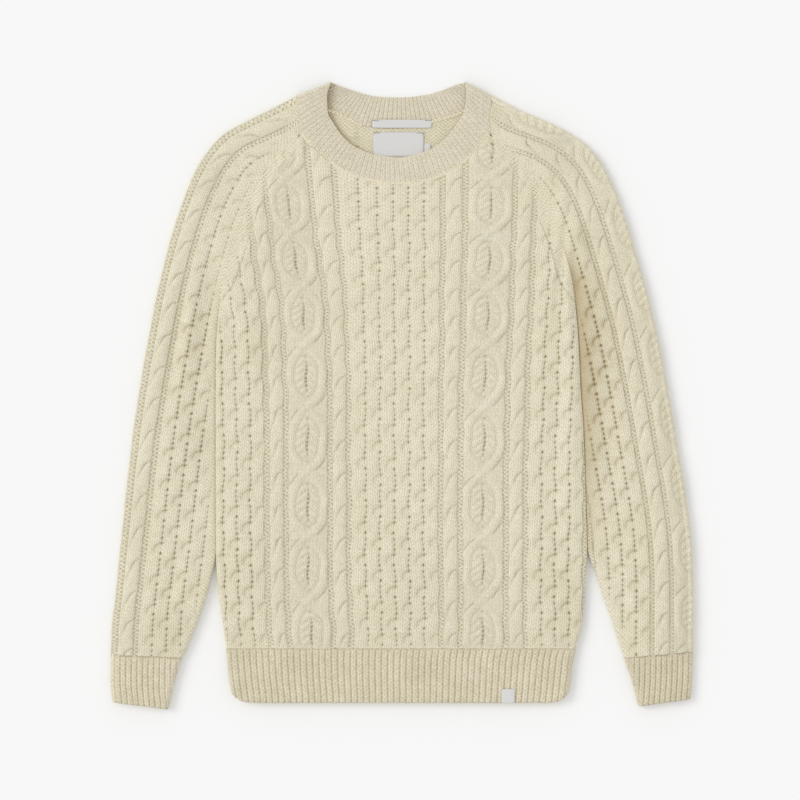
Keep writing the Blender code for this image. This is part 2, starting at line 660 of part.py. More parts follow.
def build_band(name, table, low, high, ends_down):
    length = band_line(table, np.array([0.5]))[2]
    ribs = int(round(length / BAND_RIB_PITCH))
    tip = ROLL / length
    share = np.concatenate([
        [0.0, 0.3 * tip], np.linspace(tip, 1 - tip, 2 * ribs + 1), [1 - 0.3 * tip, 1.0]
    ])
    seam, edge, _ = band_line(table, share)
    rise = np.zeros(len(share))
    rise[2:-2] = rib_rise(np.arange(2 * ribs + 1) / 2)
    away = np.clip(1 - np.minimum(share, 1 - share) / tip, 0, 1)
    roll = (high - SIDE_EDGE_OUT) * (1 - np.sqrt(1 - away**2)) if ends_down else 0 * away
    outer, inner = [], []
    count = len(share)
    column_picks = sorted({0, 2, count - 3, count - 1, *range(2, count - 3, 5)})
    for across, calm in ((0.0, 0.45), (0.12, 1.0), (0.88, 1.0), (1.0, 0.45)):
        spot = seam + (edge - seam) * across
        z = high - roll + rise * calm
        outer.append(np.column_stack([spot, z]))
    for across in (0.0, 1.0):
        spot = (seam + (edge - seam) * across)[column_picks]
        z = np.full(len(spot), low)
        if ends_down:
            z[[0, -1]] = SIDE_EDGE_IN
        inner.append(np.column_stack([spot, z]))
    add_wall(name, outer, inner, [0, 3], column_picks, "rib_wool")


def build_label(patch):
    builder = bmesh.new()
    bmesh.ops.create_cube(builder, size=1.0)
    size = np.array([patch.width, patch.height, patch.thickness]) * MM
    bmesh.ops.scale(builder, vec=size, verts=builder.verts)
    made = add_object(patch.name, builder, patch.colour)
    made.location = (patch.x * MM, patch.y * MM, (patch.z + patch.thickness / 2) * MM)


def main():
    for found in list(bpy.data.objects):
        bpy.data.objects.remove(found, do_unlink=True)
    build_front()
    build_back()
    for side in ("left", "right"):
        build_sleeve(side)
        build_cuff(side)
    build_hem()
    build_band("neckband_front", NECKBAND_FRONT, FRONT_IN, FRONT_OUT, True)
    build_band("neckband_back", NECKBAND_BACK, 0.0, BACK_TOP - RIB_RISE, False)
    for patch in LABELS:
        build_label(patch)


main()
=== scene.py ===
"""Aran sweater laid flat, seen from straight above: every layer is a knitted shell on its solid's form.

Lengths in the tables are millimetres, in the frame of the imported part: X to the right, Y towards
the collar, Z up from the floor.
"""

import math
from collections import namedtuple
from functools import partial

import bpy
import numpy as np
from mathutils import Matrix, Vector


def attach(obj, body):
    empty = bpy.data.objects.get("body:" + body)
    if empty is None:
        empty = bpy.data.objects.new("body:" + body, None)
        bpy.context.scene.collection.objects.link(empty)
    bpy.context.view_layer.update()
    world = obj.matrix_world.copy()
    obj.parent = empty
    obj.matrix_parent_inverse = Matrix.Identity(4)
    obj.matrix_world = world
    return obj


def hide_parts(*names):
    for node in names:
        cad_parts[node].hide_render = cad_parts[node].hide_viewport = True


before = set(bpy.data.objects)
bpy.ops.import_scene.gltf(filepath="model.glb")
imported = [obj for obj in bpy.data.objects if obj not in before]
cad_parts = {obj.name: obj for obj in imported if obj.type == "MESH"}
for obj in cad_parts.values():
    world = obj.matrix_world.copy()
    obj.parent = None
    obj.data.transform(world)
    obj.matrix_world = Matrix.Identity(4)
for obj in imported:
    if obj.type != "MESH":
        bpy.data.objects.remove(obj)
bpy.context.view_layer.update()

MM = 0.001

# Layers of the laid garment
WALL = 4.5
HOLLOW = 1.2
BACK_TOP = WALL
FRONT_IN = WALL + HOLLOW
FRONT_OUT = FRONT_IN + WALL
SEAM = 0.3
ROLL = 5.1
SIDE_EDGE_IN = BACK_TOP + SEAM
SIDE_EDGE_OUT = 6.6

# Heights up the body
HEM_FOOT = -338.3
HEM_TOP = -279.0
ARMPIT_LOW = 62.0
ARMPIT_HIGH = 132.0
YOKE = 198.0
NECK_CORNER = 291.5
BACK_NECK_CORNER = 321.0
NECK_LEAN = {"left": -0.095, "right": 0.055}

# Gauge of the knit, and where its patterns start up the chart
STITCH = 5.3
COURSE = 4.45
REPEAT = 8 * COURSE
SLEEVE_ROWS = 35.6 / 34.5
PURL_PAIR = 6.0
ROPE_START = -14.5
LEAF_START = -15.3
CENTRE_PITCH = 15.95
LEFT_PITCH = 14.8
RIGHT_PITCH = 15.1

# Ribs: how many, how high and how square, and how far the ribs beneath stand in
HEM_RIBS = 54
CUFF_RIBS = 11
BAND_RIB_PITCH = 6.0
RIB_RISE = 1.45
RIB_SQUARENESS = 0.55
UNDER_RIB = 1.0

# How the sleeves lie: how far the edge by the body sinks, and how much painted shade darkens each cuff
EDGE_DROP = {"left": 1.4, "right": 3.0}
VALLEY_DROP = 2.4
CUFF_SHADE = {"left": 0.0, "right": 0.11}

# Relief of the knit over its plain wall
GROUND_RISE = 0.6
DOME_RISE = 1.2
DOME_RADIUS = 9.0
DOME_ASIDE = 7.2
DOME_LEAN = 0.25
DOME_LENGTH = 1 / 0.74
EYELET_DEPTH = 1.6
ROPE_RISE = 2.3
STRAND_RISE = 2.6
UNDER_STRAND_RISE = 2.3
STRAND_HALF = 4.7
LEAF_HALF_LENGTH = 27.0
LEAF_RISE = 1.9
LEAF_GROUND_RISE = 1.3
UNDERSIDE_DEPTH = 1.8
UNDERSIDE_SHARE = 0.45

# Painted shade: how much darker the wool is coloured in the purl, in the creases of its patterns and between
# its ribs
PURL_SHADE = 0.12
LATTICE_CREASE_SHADE = 0.21
ROPE_CREASE_SHADE = 0.26
LEAF_CREASE_SHADE = 0.3
RIB_GROOVE_SHADE = 0.23

# Fineness of the shells: sides of their cells, rows in a yoke, columns round a fold, and how many
# cells of the fine face go to one of the plain face
CELL = 1.4
ROW_CELL = COURSE / 3
FRONT_ROW_CELL = REPEAT / 22
BACK_CELL = 2.2
PILE = 0.25
FRONT_YOKE_ROWS = 35
BACK_YOKE_ROWS = 60
ARC_STEPS = 10
COARSE = 6
RIB_COARSE = 8
RIB_CELLS = 8

Edge = namedtuple("Edge", "y left right")
SIDE_EDGES = [
    Edge(-340.0, -187.0, 182.5),
    Edge(-330.0, -188.0, 184.0),
    Edge(-313.0, -190.5, 186.0),
    Edge(-291.0, -192.5, 188.5),
    Edge(-279.0, -193.5, 191.5),
    Edge(-247.0, -198.0, 199.0),
    Edge(-203.0, -203.5, 202.0),
    Edge(-170.0, -205.2, 204.0),
    Edge(-115.0, -205.5, 202.4),
    Edge(-49.0, -205.7, 200.5),
    Edge(14.0, -205.7, 196.5),
    Edge(59.0, -205.0, 194.5),
    Edge(93.0, -202.0, 191.5),
    Edge(126.0, -197.5, 187.0),
    Edge(153.5, -189.2, 180.5),
    Edge(180.0, -180.5, 171.5),
    Edge(206.0, -171.5, 161.5),
    Edge(230.5, -160.6, 149.6),
    Edge(252.5, -147.4, 134.8),
    Edge(272.5, -130.5, 116.0),
    Edge(NECK_CORNER, -111.5, 96.0),
]
Section = namedtuple("Section", "seam_y off_body fold_x fold_y")
SLEEVE_SECTIONS = {
    "left": [
        Section(291.0, -0.2, -116.0, 330.6),
        Section(279.0, -0.2, -145.0, 315.0),
        Section(264.5, -0.2, -172.5, 301.0),
        Section(249.0, -0.2, -198.0, 286.5),
        Section(230.5, -0.2, -216.5, 265.5),
        Section(208.5, -0.2, -229.0, 243.5),
        Section(183.0, -0.2, -240.0, 217.5),
        Section(126.0, -0.2, -261.0, 149.0),
        Section(59.0, -0.2, -276.5, 77.5),
        Section(-49.0, -0.2, -296.0, -40.0),
        Section(-170.0, -0.2, -311.0, -175.0),
        Section(-203.0, 7.5, -315.0, -214.0),
        Section(-247.0, 26.5, -319.5, -255.0),
        Section(-289.0, 49.5, -321.0, -285.5),
    ],
    "right": [
        Section(291.0, -0.2, 99.2, 330.6),
        Section(279.0, -0.2, 129.5, 314.0),
        Section(264.5, -0.2, 159.5, 301.0),
        Section(249.0, -0.2, 188.0, 286.5),
        Section(230.5, -0.2, 209.0, 269.0),
        Section(208.5, -0.2, 224.5, 246.5),
        Section(183.0, -0.2, 237.0, 218.5),
        Section(126.0, -0.2, 260.0, 147.0),
        Section(59.0, -0.2, 278.5, 77.5),
        Section(-49.0, -0.2, 300.5, -40.0),
        Section(-164.0, -0.2, 319.0, -170.0),
        Section(-203.0, 14.0, 320.5, -214.0),
        Section(-247.0, 32.0, 320.5, -252.0),
        Section(-289.0, 56.0, 320.5, -282.0),
    ],
}
Cuff = namedtuple("Cuff", "seam_x seam_y fold_x fold_y")
CUFF_SECTIONS = {
    "left": [
        Cuff(-243.0, -289.6, -321.0, -286.1),
        Cuff(-251.5, -318.0, -321.2, -312.0),
        Cuff(-257.5, -345.5, -319.0, -337.5),
    ],
    "right": [
        Cuff(244.7, -289.6, 320.5, -282.6),
        Cuff(253.5, -315.0, 320.0, -308.0),
        Cuff(260.5, -342.0, 318.0, -334.0),
    ],
}
Band = namedtuple("Band", "seam_x seam_y edge_x edge_y")
NECKBAND_FRONT = [
    Band(-114.9, 330.6, -78.0, 345.5),
    Band(-112.8, 311.0, -82.5, 329.0),
    Band(-110.9, 291.5, -81.5, 312.0),
    Band(-99.0, 274.0, -75.5, 300.0),
    Band(-84.0, 261.0, -64.5, 284.5),
    Band(-61.0, 245.5, -48.5, 272.0),
    Band(-31.0, 236.5, -26.5, 264.5),
    Band(0.0, 233.5, -3.0, 262.0),
    Band(29.0, 237.5, 21.0, 267.0),
    Band(55.0, 248.5, 40.5, 277.0),
    Band(75.0, 263.5, 54.0, 290.5),
    Band(87.5, 278.5, 64.0, 304.5),
    Band(95.5, 292.0, 69.5, 318.0),
    Band(96.7, 311.0, 70.8, 331.0),
    Band(98.3, 330.4, 69.5, 345.5),
]
NECKBAND_BACK = [
    Band(-114.9, 330.0, -78.0, 345.0),
    Band(-111.0, 322.0, -68.0, 341.0),
    Band(-76.0, 312.5, -52.0, 335.5),
    Band(-36.0, 296.0, -27.0, 329.5),
    Band(-2.0, 295.0, -2.0, 328.5),
    Band(38.0, 303.0, 27.0, 331.5),
    Band(68.0, 312.0, 47.0, 337.5),
    Band(95.0, 322.0, 60.0, 342.5),
    Band(98.0, 330.0, 69.5, 345.0),
]

# How the stripes lie on the body: shifts of its left and right halves, which lean out to the yoke
Lie = namedtuple("Lie", "y centre left right")
LIES = [
    Lie(-279.0, -6.0, -2.6, -2.6),
    Lie(-230.0, -7.2, -1.4, -1.0),
    Lie(-165.0, -8.2, 0.0, 0.0),
    Lie(-76.0, -8.2, 0.0, 0.8),
    Lie(12.0, -8.2, 1.4, 3.0),
    Lie(56.0, -8.2, 2.8, 5.0),
    Lie(100.0, -8.4, 5.8, 6.8),
    Lie(144.0, -8.6, 12.1, 9.2),
    Lie(188.0, -9.4, 17.2, 11.2),
    Lie(232.0, -9.6, 22.0, 12.6),
    Lie(300.0, -9.6, 28.0, 14.0),
]
# Rows of the chart up the body: the knit is pressed shorter over the chest
RowMark = namedtuple("RowMark", "y repeats")
ROW_MARKS = [
    RowMark(-315.7, -9.0),
    RowMark(-104.5, -3.0),
    RowMark(-33.0, -1.0),
    RowMark(1.9, 0.0),
    RowMark(36.3, 1.0),
    RowMark(70.4, 2.0),
    RowMark(101.2, 3.0),
    RowMark(192.5, 6.0),
    RowMark(345.0, 11.0),
]

# The chart: stripes across the knit, from left to right of the layer that lies on top. The parity
# says which lines of holes are tied half a repeat higher.
Stripe = namedtuple("Stripe", "kind low high pitch parity", defaults=(None, 0))
FRONT_STRIPES = [
    Stripe("lattice", -202.8, -143.6, LEFT_PITCH, 1),
    Stripe("rope", -137.6, -122.0),
    Stripe("leaf", -116.9, -73.6),
    Stripe("rope", -68.4, -52.8),
    Stripe("lattice", -47.85, 47.85, CENTRE_PITCH, 1),
    Stripe("rope", 52.8, 69.4),
    Stripe("leaf", 74.8, 119.4),
    Stripe("rope", 124.8, 141.0),
    Stripe("lattice", 146.2, 206.6, RIGHT_PITCH, 0),
]
SLEEVE_STRIPES = {
    "left": [
        Stripe("lattice", -126.0, -66.0, 15.0, 1),
        Stripe("rope", -61.5, -45.5),
        Stripe("leaf", -40.5, 2.5),
        Stripe("rope", 8.0, 24.6),
        Stripe("lattice", 30.0, 108.0, 15.6, 1),
    ],
    "right": [
        Stripe("lattice", -108.0, -48.0, 15.0, 0),
        Stripe("rope", -43.0, -26.5),
        Stripe("leaf", -21.5, 21.5),
        Stripe("rope", 27.0, 43.0),
        Stripe("lattice", 48.0, 108.0, 15.0, 0),
    ],
}

# Soft creases by the armpits and down the sleeves: a low ridge with a trough on its left, or the
# other way round where the rise is negative
Crease = namedtuple("Crease", "x y length width lean rise")
CREASES = [
    Crease(-186.0, 112.0, 62.0, 9.0, -0.25, 1.6),
    Crease(-170.0, 60.0, 85.0, 13.0, -0.06, 1.0),
    Crease(176.0, 150.0, 58.0, 4.6, 0.12, -1.8),
    Crease(192.0, 118.0, 46.0, 6.5, -0.05, -3.2),
    Crease(205.0, 170.0, 42.0, 5.0, -0.3, -1.5),
    Crease(186.0, -10.0, 120.0, 10.0, 0.01, 2.6),
    Crease(160.0, 55.0, 110.0, 14.0, 0.08, 1.2),
    Crease(178.0, -60.0, 80.0, 10.0, 0.0, 1.2),
    Crease(-182.0, -110.0, 90.0, 12.0, 0.0, 1.2),
    Crease(-219.0, 80.0, 60.0, 10.0, 0.1, -2.2),
    Crease(-236.0, 58.0, 75.0, 9.0, 0.16, 2.0),
    Crease(-262.0, -120.0, 80.0, 14.0, 0.1, 1.4),
    Crease(-240.0, -205.0, 45.0, 8.0, 0.3, 1.6),
    Crease(246.0, -60.0, 90.0, 13.0, -0.14, 1.5),
    Crease(252.0, -215.0, 48.0, 8.0, -0.3, 1.8),
]
# Where the knit is drawn together, so its domes stand prouder, its hollows are deeper and the painted shade
# in its creases and hollows is darker
Spot = namedtuple("Spot", "x y width height strength")
GATHERS = [
    Spot(-232.0, 48.0, 30.0, 80.0, 0.5),
    Spot(-240.0, -80.0, 30.0, 60.0, 0.35),
    Spot(-258.0, -205.0, 32.0, 70.0, 0.3),
    Spot(-158.0, 50.0, 14.0, 80.0, 0.35),
    Spot(-175.0, -190.0, 32.0, 90.0, 0.25),
    Spot(-8.0, -195.0, 55.0, 110.0, 0.15),
    Spot(172.0, -180.0, 34.0, 100.0, 0.3),
    Spot(160.0, 40.0, 18.0, 90.0, 0.25),
    Spot(216.0, 50.0, 26.0, 85.0, 0.5),
    Spot(245.0, -90.0, 32.0, 80.0, 0.3),
    Spot(270.0, -210.0, 34.0, 70.0, 0.3),
]
# Painted shade of soft dips that turn from the window: the right shoulder, the right sleeve and above the
# ribs
DIP_SHADES = [
    Spot(100.0, 312.0, 20.0, 24.0, 0.12),
    Spot(178.0, 252.0, 26.0, 26.0, 0.07),
    Spot(201.0, 170.0, 14.0, 24.0, 0.16),
    Spot(306.0, -70.0, 20.0, 90.0, 0.08),
    Spot(312.0, -230.0, 18.0, 60.0, 0.08),
    Spot(-222.0, -50.0, 18.0, 30.0, 0.10),
    Spot(-215.0, 50.0, 14.0, 70.0, 0.06),
    Spot(-252.0, -262.0, 26.0, 24.0, 0.10),
    Spot(8.0, -225.0, 45.0, 50.0, 0.06),
    Spot(-150.0, -190.0, 40.0, 60.0, 0.05),
    Spot(180.0, -228.0, 30.0, 45.0, 0.08),
    Spot(-205.0, 235.0, 24.0, 30.0, 0.04),
]


def through(knots, values, at):
    """A smooth curve through the values at rising knots, which never overshoots them."""
    knots, values, at = (np.asarray(a, float) for a in (knots, values, at))
    step = np.diff(knots)
    rise = np.diff(values) / step
    slope = np.zeros_like(values)
    same = rise[:-1] * rise[1:] > 0
    mean = 2 * rise[:-1] * rise[1:] / np.where(same, rise[:-1] + rise[1:], 1)
    slope[1:-1] = np.where(same, mean, 0)
    slope[0], slope[-1] = rise[0], rise[-1]
    i = np.clip(np.searchsorted(knots, at, side="right") - 1, 0, len(step) - 1)
    t = np.clip((at - knots[i]) / step[i], 0, 1)
    start = (1 + 2 * t) * (1 - t) ** 2 * values[i] + t * (1 - t) ** 2 * step[i] * slope[i]
    end = t * t * (3 - 2 * t) * values[i + 1] - t * t * (1 - t) * step[i] * slope[i + 1]
    return start + end


def column(table, name):
    """One named column of a table."""
    return [getattr(row, name) for row in table]


def side_edge(side, y):
    """The body's outline: the side seam, the raglan seam, then the sleeve's neck end."""
    above = np.maximum(np.asarray(y, float) - NECK_CORNER, 0)
    return through(column(SIDE_EDGES, "y"), column(SIDE_EDGES, side), y) + NECK_LEAN[side] * above


def ease(low, high, value):
    """0 at low, 1 at high, and a soft step between them."""
    t = np.clip((np.asarray(value, float) - low) / (high - low), 0, 1)
    return t * t * (3 - 2 * t)


def bump(distance, width, power=2):
    """1 in the middle, falling away over a width."""
    return np.exp(-(np.abs(np.asarray(distance, float) / width) ** power))


def rolled(y):
    """0 where a layer's edge butts its neighbour at the raglan, 1 where it rolls down to a seam."""
    return 1 - ease(ARMPIT_LOW, ARMPIT_HIGH, y)


def lie(y, name):
    """A shift of the stripes at a height up the body."""
    return through(column(LIES, "y"), column(LIES, name), y)


# Where the stripes start to waver, below the yoke
WAVER_TOP = 230.0


def stripes_at(s, y):
    """Where a chart column lies on the body at a height."""
    out = s + lie(y, "right") * ease(0, 125, s) - lie(y, "left") * ease(0, 85, -s)
    row = chart_row(y)
    waver = 0.8 * np.sin(2 * math.pi * row / REPEAT + s / 24.0) + 0.5 * np.sin(row / 21.0 - s / 40.0)
    return lie(y, "centre") + out + waver * ease(WAVER_TOP, WAVER_TOP - 60, y)


def chart_column(x, y):
    """The chart column that lies at a place on the body."""
    s = x - lie(y, "centre")
    for _ in range(6):
        s = s - (stripes_at(s, y) - x) * 0.85
    return s


def chart_row(y):
    """The row of the chart at a height up the body, in millimetres of knit."""
    return REPEAT * through(column(ROW_MARKS, "y"), column(ROW_MARKS, "repeats"), y)


def below(row, start, repeat=REPEAT, lead=0.3):
    """Distance down from the last start of a repeat, from a little before it."""
    return (start - row + lead * repeat) % repeat - lead * repeat


def round_top(distance, half, power=0.5):
    """Round cross-section, 1 on its crest and 0 past its sides."""
    return np.clip(1 - (distance / half) ** 2, 0, 1) ** power


# Eyelet gaps down a line of the lattice, in millimetres below its tie, and how wide they open
EYELETS = [(0.0, 0.75), (11.4, 1.0), (18.2, 0.7), (24.2, 0.5), (30.0, 0.75)]
LEAF_EYELETS = [
    (12.5, 0.5), (20.0, 0.5), (24.5, 0.7), (29.0, 0.9), (33.5, 0.9),
    (38.5, 1.0), (42.5, 0.9), (47.0, 0.9), (52.0, 0.5), (60.0, 0.4),
]


def eyelets(across, down, places, repeat=REPEAT):
    """Small gaps one below the other, 1 in the middle of a full one."""
    total = np.zeros_like(across)
    for place, size in places:
        away = (down - place + repeat / 2) % repeat - repeat / 2
        total = np.maximum(total, size * bump(np.hypot(across / 1.15, away / 1.6), 1.0))
    return total


# How far left and how far down a groove of the lattice hooks
HOOK_REACH = 8.2
HOOK_FALL = 9.5


def past_hook(across, down):
    """Distance past the curved groove of a lattice line, a quarter of an ellipse, and below 0 under it."""
    rise = np.maximum(HOOK_FALL - down, 0)
    turn = np.hypot(across / HOOK_REACH, rise / HOOK_FALL)
    steep = np.hypot(across / HOOK_REACH**2, rise / HOOK_FALL**2) / np.maximum(turn, 1e-3)
    return np.where(across > 0, 3.0, (1 - turn) / np.maximum(steep, 1e-3))


def lattice(s, row, stripe):
    """Puffed domes in brick order, each tucked under its neighbour along a curved groove.

    A groove starts at the top eyelet of a line and hooks down to the left; the dome lies below and
    to the right of it, across the line."""
    place = (s - stripe.low) / stripe.pitch
    lines = round((stripe.high - stripe.low) / stripe.pitch)
    height = GROUND_RISE * np.abs(np.sin(math.pi * place)) ** 0.6
    # Painted shade along the lines of holes, in the curved creases, where a dome tucks under and in the
    # eyelets
    dark = 0.06 * bump((place - np.round(place)) * stripe.pitch, 1.3)
    gaps = np.zeros_like(s)
    for step in (0, 1):
        line = np.floor(place) + step
        across = s - (stripe.low + line * stripe.pitch)
        down = below(row, ((line + stripe.parity) % 2) * REPEAT / 2)
        past = past_hook(across, down)
        window = ease(-1.5, 0.8, down) * (1 - ease(7.0, 14.0, down))
        lower = down - HOOK_FALL
        aside = across - DOME_ASIDE + DOME_LEAN * lower
        dome = round_top(np.hypot(aside, lower / DOME_LENGTH), DOME_RADIUS, 0.6)
        dome = dome * (1 - window * (1 - ease(-0.2, 2.6, past)))
        tucked = window * np.exp(np.minimum(past, 0) / 3.2) * (past < 0)
        height = height * (1 - 0.8 * tucked)
        crease = window * bump(past, 1.7)
        height = np.maximum(height, DOME_RISE * dome) - 0.5 * crease
        dark = np.maximum(dark, LATTICE_CREASE_SHADE * crease + 0.03 * tucked)
        inner = np.where((line == 0) | (line == lines), 0.3, 1.0)
        gaps = np.maximum(gaps, inner * eyelets(across, down, EYELETS))
        gaps = np.maximum(gaps, 0.6 * inner * bump(np.hypot(across / 2.2, down / 1.2), 1.0))
    return height - EYELET_DEPTH * gaps, np.maximum(dark, gaps), place * 3


# Edge of the upper strand of a rope, from right to left across its width, at millimetres down a turn
ROPE_TURN = [(0.0, 0.52), (2.5, 0.26), (5.0, 0.08), (8.0, -0.02), (12.0, -0.10), (20.0, -0.28), (35.6, -0.52)]


def rope(s, row, stripe):
    """A two-ply twist: each strand comes out under the last one's edge on the right, fills the
    width, and thins away to the left."""
    middle, width = (stripe.low + stripe.high) / 2, stripe.high - stripe.low
    across, down = s - middle, below(row, ROPE_START, lead=0.0)
    edge = width * through([t for t, _ in ROPE_TURN], [e for _, e in ROPE_TURN], down)
    height = np.zeros_like(s)
    for hand in (1, -1):
        half = (width / 2 + hand * edge) / 2
        strand = round_top(across + hand * (width / 2 - half), np.maximum(half, 0.4) * 1.08)
        height = np.maximum(height, strand * ROPE_RISE * np.clip(half / (width * 0.28), 0, 1) ** 0.6)
    window = ease(-0.5, 1.0, down) * (1 - ease(8.0, 16.0, down))
    crease = bump(across - edge, 1.0) * (0.25 * (1 - ease(20, 30, down)) + 0.75 * window)
    height = height * round_top(across, width * 0.56, 0.3) - 0.6 * crease
    # Painted shade in the crease under each strand's edge
    return height, ROPE_CREASE_SHADE * crease, across / 4.0


def leaf(s, row, stripe):
    """Two outer strands that part round a veined leaf and cross above and below it."""
    middle, half = (stripe.low + stripe.high) / 2, (stripe.high - stripe.low) / 2
    across = s - middle
    down = below(row, LEAF_START, 2 * REPEAT, 0.5)
    away, side = np.abs(down), np.abs(across)
    spread = (half - 4.4) * np.sin(math.pi / 2 * np.clip(away / LEAF_HALF_LENGTH, 0, 1))
    path = -np.sign(down) * spread
    slope = 1 + 0.42 * (1 - ease(10, LEAF_HALF_LENGTH, away))
    over = round_top((across - path) / slope, STRAND_HALF)
    under = round_top((across + path) / slope, STRAND_HALF)
    covered = 1 - ease(3.0, 9.0, away)
    inner_edge = side - spread + 4.3 * slope + 2.5 * ease(40, 62, down) * (down > 0)
    inside = 1 - ease(-3.0, 0.8, inner_edge)
    phase = (down + 36.0 - 1.05 * side + 0.02 * side**2) / (2 * COURSE)
    vein = bump(phase - np.round(phase), 0.17) * ease(0.8, 3.0, side) * np.where(across < 0, 1.0, 0.6)
    ridge = bump(phase - np.floor(phase) - 0.5, 0.3)
    body = inside * (LEAF_RISE + 0.7 * ridge * ease(0.5, 3.0, side)) * ease(8.0, 18.0, away)
    ground = LEAF_GROUND_RISE * round_top(side, half + 0.5, 0.4)
    strands = np.maximum(STRAND_RISE * over, UNDER_STRAND_RISE * under * (1 - 0.6 * covered))
    height = np.maximum(strands, np.maximum(body, ground))
    window = 1 - ease(11.0, 19.0, away)
    along = np.where(down < 0, across - path, path - across) - STRAND_HALF * slope
    crease = window * bump(along, 1.0) * ease(0.5, 4.0, away) * (side < half)
    tuck = bump(inner_edge, 1.1) * ease(7.0, 12.0, away) * (side > 0.8) * np.where(across < 0, 0.9, 0.4)
    gaps = eyelets(across, below(row, LEAF_START, 2 * REPEAT, 0.0), LEAF_EYELETS, 2 * REPEAT)
    height = height - 0.8 * crease - 0.4 * tuck - EYELET_DEPTH * gaps - 0.6 * vein * inside
    # Painted shade in the creases, the tucks, the veins and the eyelets
    dark = LEAF_CREASE_SHADE * crease + 0.1 * tuck + 0.15 * vein * inside
    return height, np.maximum(dark, 1.1 * gaps), (side - spread) / 4.0 + 0.5


def wander(x, y, size, turn=0.0):
    """Smooth uneven drift between -1 and 1, like the pull of a hand-laid cloth."""
    u, v = x / size + turn, y / size - 1.7 * turn
    waves = np.sin(2.1 * u + 1.3 * np.sin(1.1 * v)) + np.sin(1.7 * v + 1.9 * np.sin(0.8 * u + turn))
    return 0.35 * (waves + np.sin(1.3 * u - 2.3 * v + turn) * 0.8)


def knit(stripes, s, row):
    """Height, painted shade in its creases and holes, stitch column and purl share of the chart at places
    across and up it.
    """
    s, row = np.broadcast_arrays(np.asarray(s, float), np.asarray(row, float))
    pulled = row + 0.9 * wander(s, row, 31.0, 0.4)
    # Painted shade: the purl ground is a little darker, and each stripe paints the shade of its own creases
    height, dark = np.zeros_like(s), np.full_like(s, PURL_SHADE)
    wale, purl = s / STITCH, np.ones_like(s)
    makers = {"lattice": lattice, "rope": rope, "leaf": leaf}
    for stripe in stripes:
        inside = (s >= stripe.low) & (s <= stripe.high)
        rise, shade, column_at = makers[stripe.kind](s, pulled, stripe)
        height, dark = np.where(inside, rise, height), np.where(inside, shade, dark)
        wale, purl = np.where(inside, column_at, wale), np.where(inside, 0, purl)
    for before, after in zip(stripes, stripes[1:]):
        between = (s > before.high) & (s < after.low)
        middle = (before.high + after.low) / 2
        wale = np.where(between, (s - middle) / PURL_PAIR, wale)
    return height * (1 + 0.14 * wander(s, row, 19.0, 2.2)), dark, wale, purl


# The valley where the right sleeve goes in behind the edge of the body
VALLEY = {"low": -185.0, "high": 180.0, "deepest": 40.0}


def valley(x, y):
    """How deep a place on the right sleeve lies in the shade of the body's edge, from 0 to 1."""
    wide = ease(VALLEY["low"], VALLEY["deepest"], y) * (1 - ease(115, VALLEY["high"], y))
    along = ease(VALLEY["low"] - 15, VALLEY["low"] + 25, y) * (1 - ease(125, VALLEY["high"], y))
    from_body = np.maximum(x - side_edge("right", y), 0)
    return (0.6 + 0.4 * wide) * along * bump(from_body, 9.0 + 14.0 * wide, 1.3)


def crease_rise(x, y):
    """How far the soft creases raise or lower a place."""
    total = np.zeros_like(x)
    for crease in CREASES:
        across = x - crease.x - crease.lean * (y - crease.y)
        along = bump(y - crease.y, crease.length)
        ridge = bump(across, crease.width) - 0.7 * bump(across + 1.5 * crease.width, crease.width)
        total = total + crease.rise * ridge * along
    return total


def spots(table, x, y, start):
    """A start and the soft round spots of a table on it, each as strong as its row says."""
    for row in table:
        start = start + row.strength * bump(x - row.x, row.width) * bump(y - row.y, row.height)
    return start


def hollow_shade(gain, height):
    """Warm shade in the hollows of the knit where it is drawn together."""
    return np.clip(0.55 * (gain - 1), 0, 1) * (1 - np.clip(height, 0, 1))


def rib_profile(turns):
    """Round ribs with narrow grooves at whole turns."""
    return np.abs(np.sin(math.pi * np.asarray(turns, float))) ** RIB_SQUARENESS


# Grid columns from one line of holes to the next, closer together beside each line
LATTICE_CELLS = [0.0, 1.0, 2.3, 4.0, 6.0, 8.0, 9.8, 11.6, 13.3, 14.9]


def lattice_columns(stripe):
    """Grid columns across a lattice, set on its lines of holes."""
    beside = np.array(LATTICE_CELLS) / CENTRE_PITCH
    count = round((stripe.high - stripe.low) / stripe.pitch)
    places = [stripe.low + stripe.pitch * (k + beside) for k in range(count)]
    return np.concatenate([*places, [stripe.high]])


def chart_columns(stripes, cell=CELL):
    """Grid columns across the chart, set on each stripe's own lines."""
    places = []
    for stripe, after in zip(stripes, stripes[1:] + [None]):
        width = stripe.high - stripe.low
        if stripe.kind == "lattice":
            places.append(lattice_columns(stripe))
        else:
            steps = 2 * math.ceil(width / cell / 2)
            places.append(np.linspace(stripe.low, stripe.high, steps + 1))
        if after:
            places.append(np.linspace(stripe.high, after.low, 21)[[2, 10, 18]])
    return np.concatenate(places)


def srgb(code):
    """A hex colour as linear red, green, blue and alpha."""
    parts = [int(code[i:i + 2], 16) / 255 for i in (1, 3, 5)]
    return [p / 12.92 if p <= 0.04045 else ((p + 0.055) / 1.055) ** 2.4 for p in parts] + [1.0]


def add_node(tree, kind, *inputs, **settings):
    """One node. An input is a value or a socket to link, by its place or as in_ and its name."""
    made = tree.nodes.new(kind)
    named = {key[3:].replace("_", " "): settings[key] for key in settings if key.startswith("in_")}
    for key, value in settings.items():
        if not key.startswith("in_"):
            setattr(made, key, value)
    for place, value in [*enumerate(inputs), *named.items()]:
        if isinstance(value, bpy.types.NodeSocket):
            tree.links.new(value, made.inputs[place])
        elif value is not None:
            made.inputs[place].default_value = value
    return made


def follow(tree, known, steps):
    """The steps of a formula as nodes: a name, an operation, and numbers or the names of earlier results."""
    for name, operation, *values in steps:
        values = [known[value] if isinstance(value, str) else value for value in values]
        known[name] = add_node(tree, "ShaderNodeMath", *values, operation=operation).outputs[0]
    return known


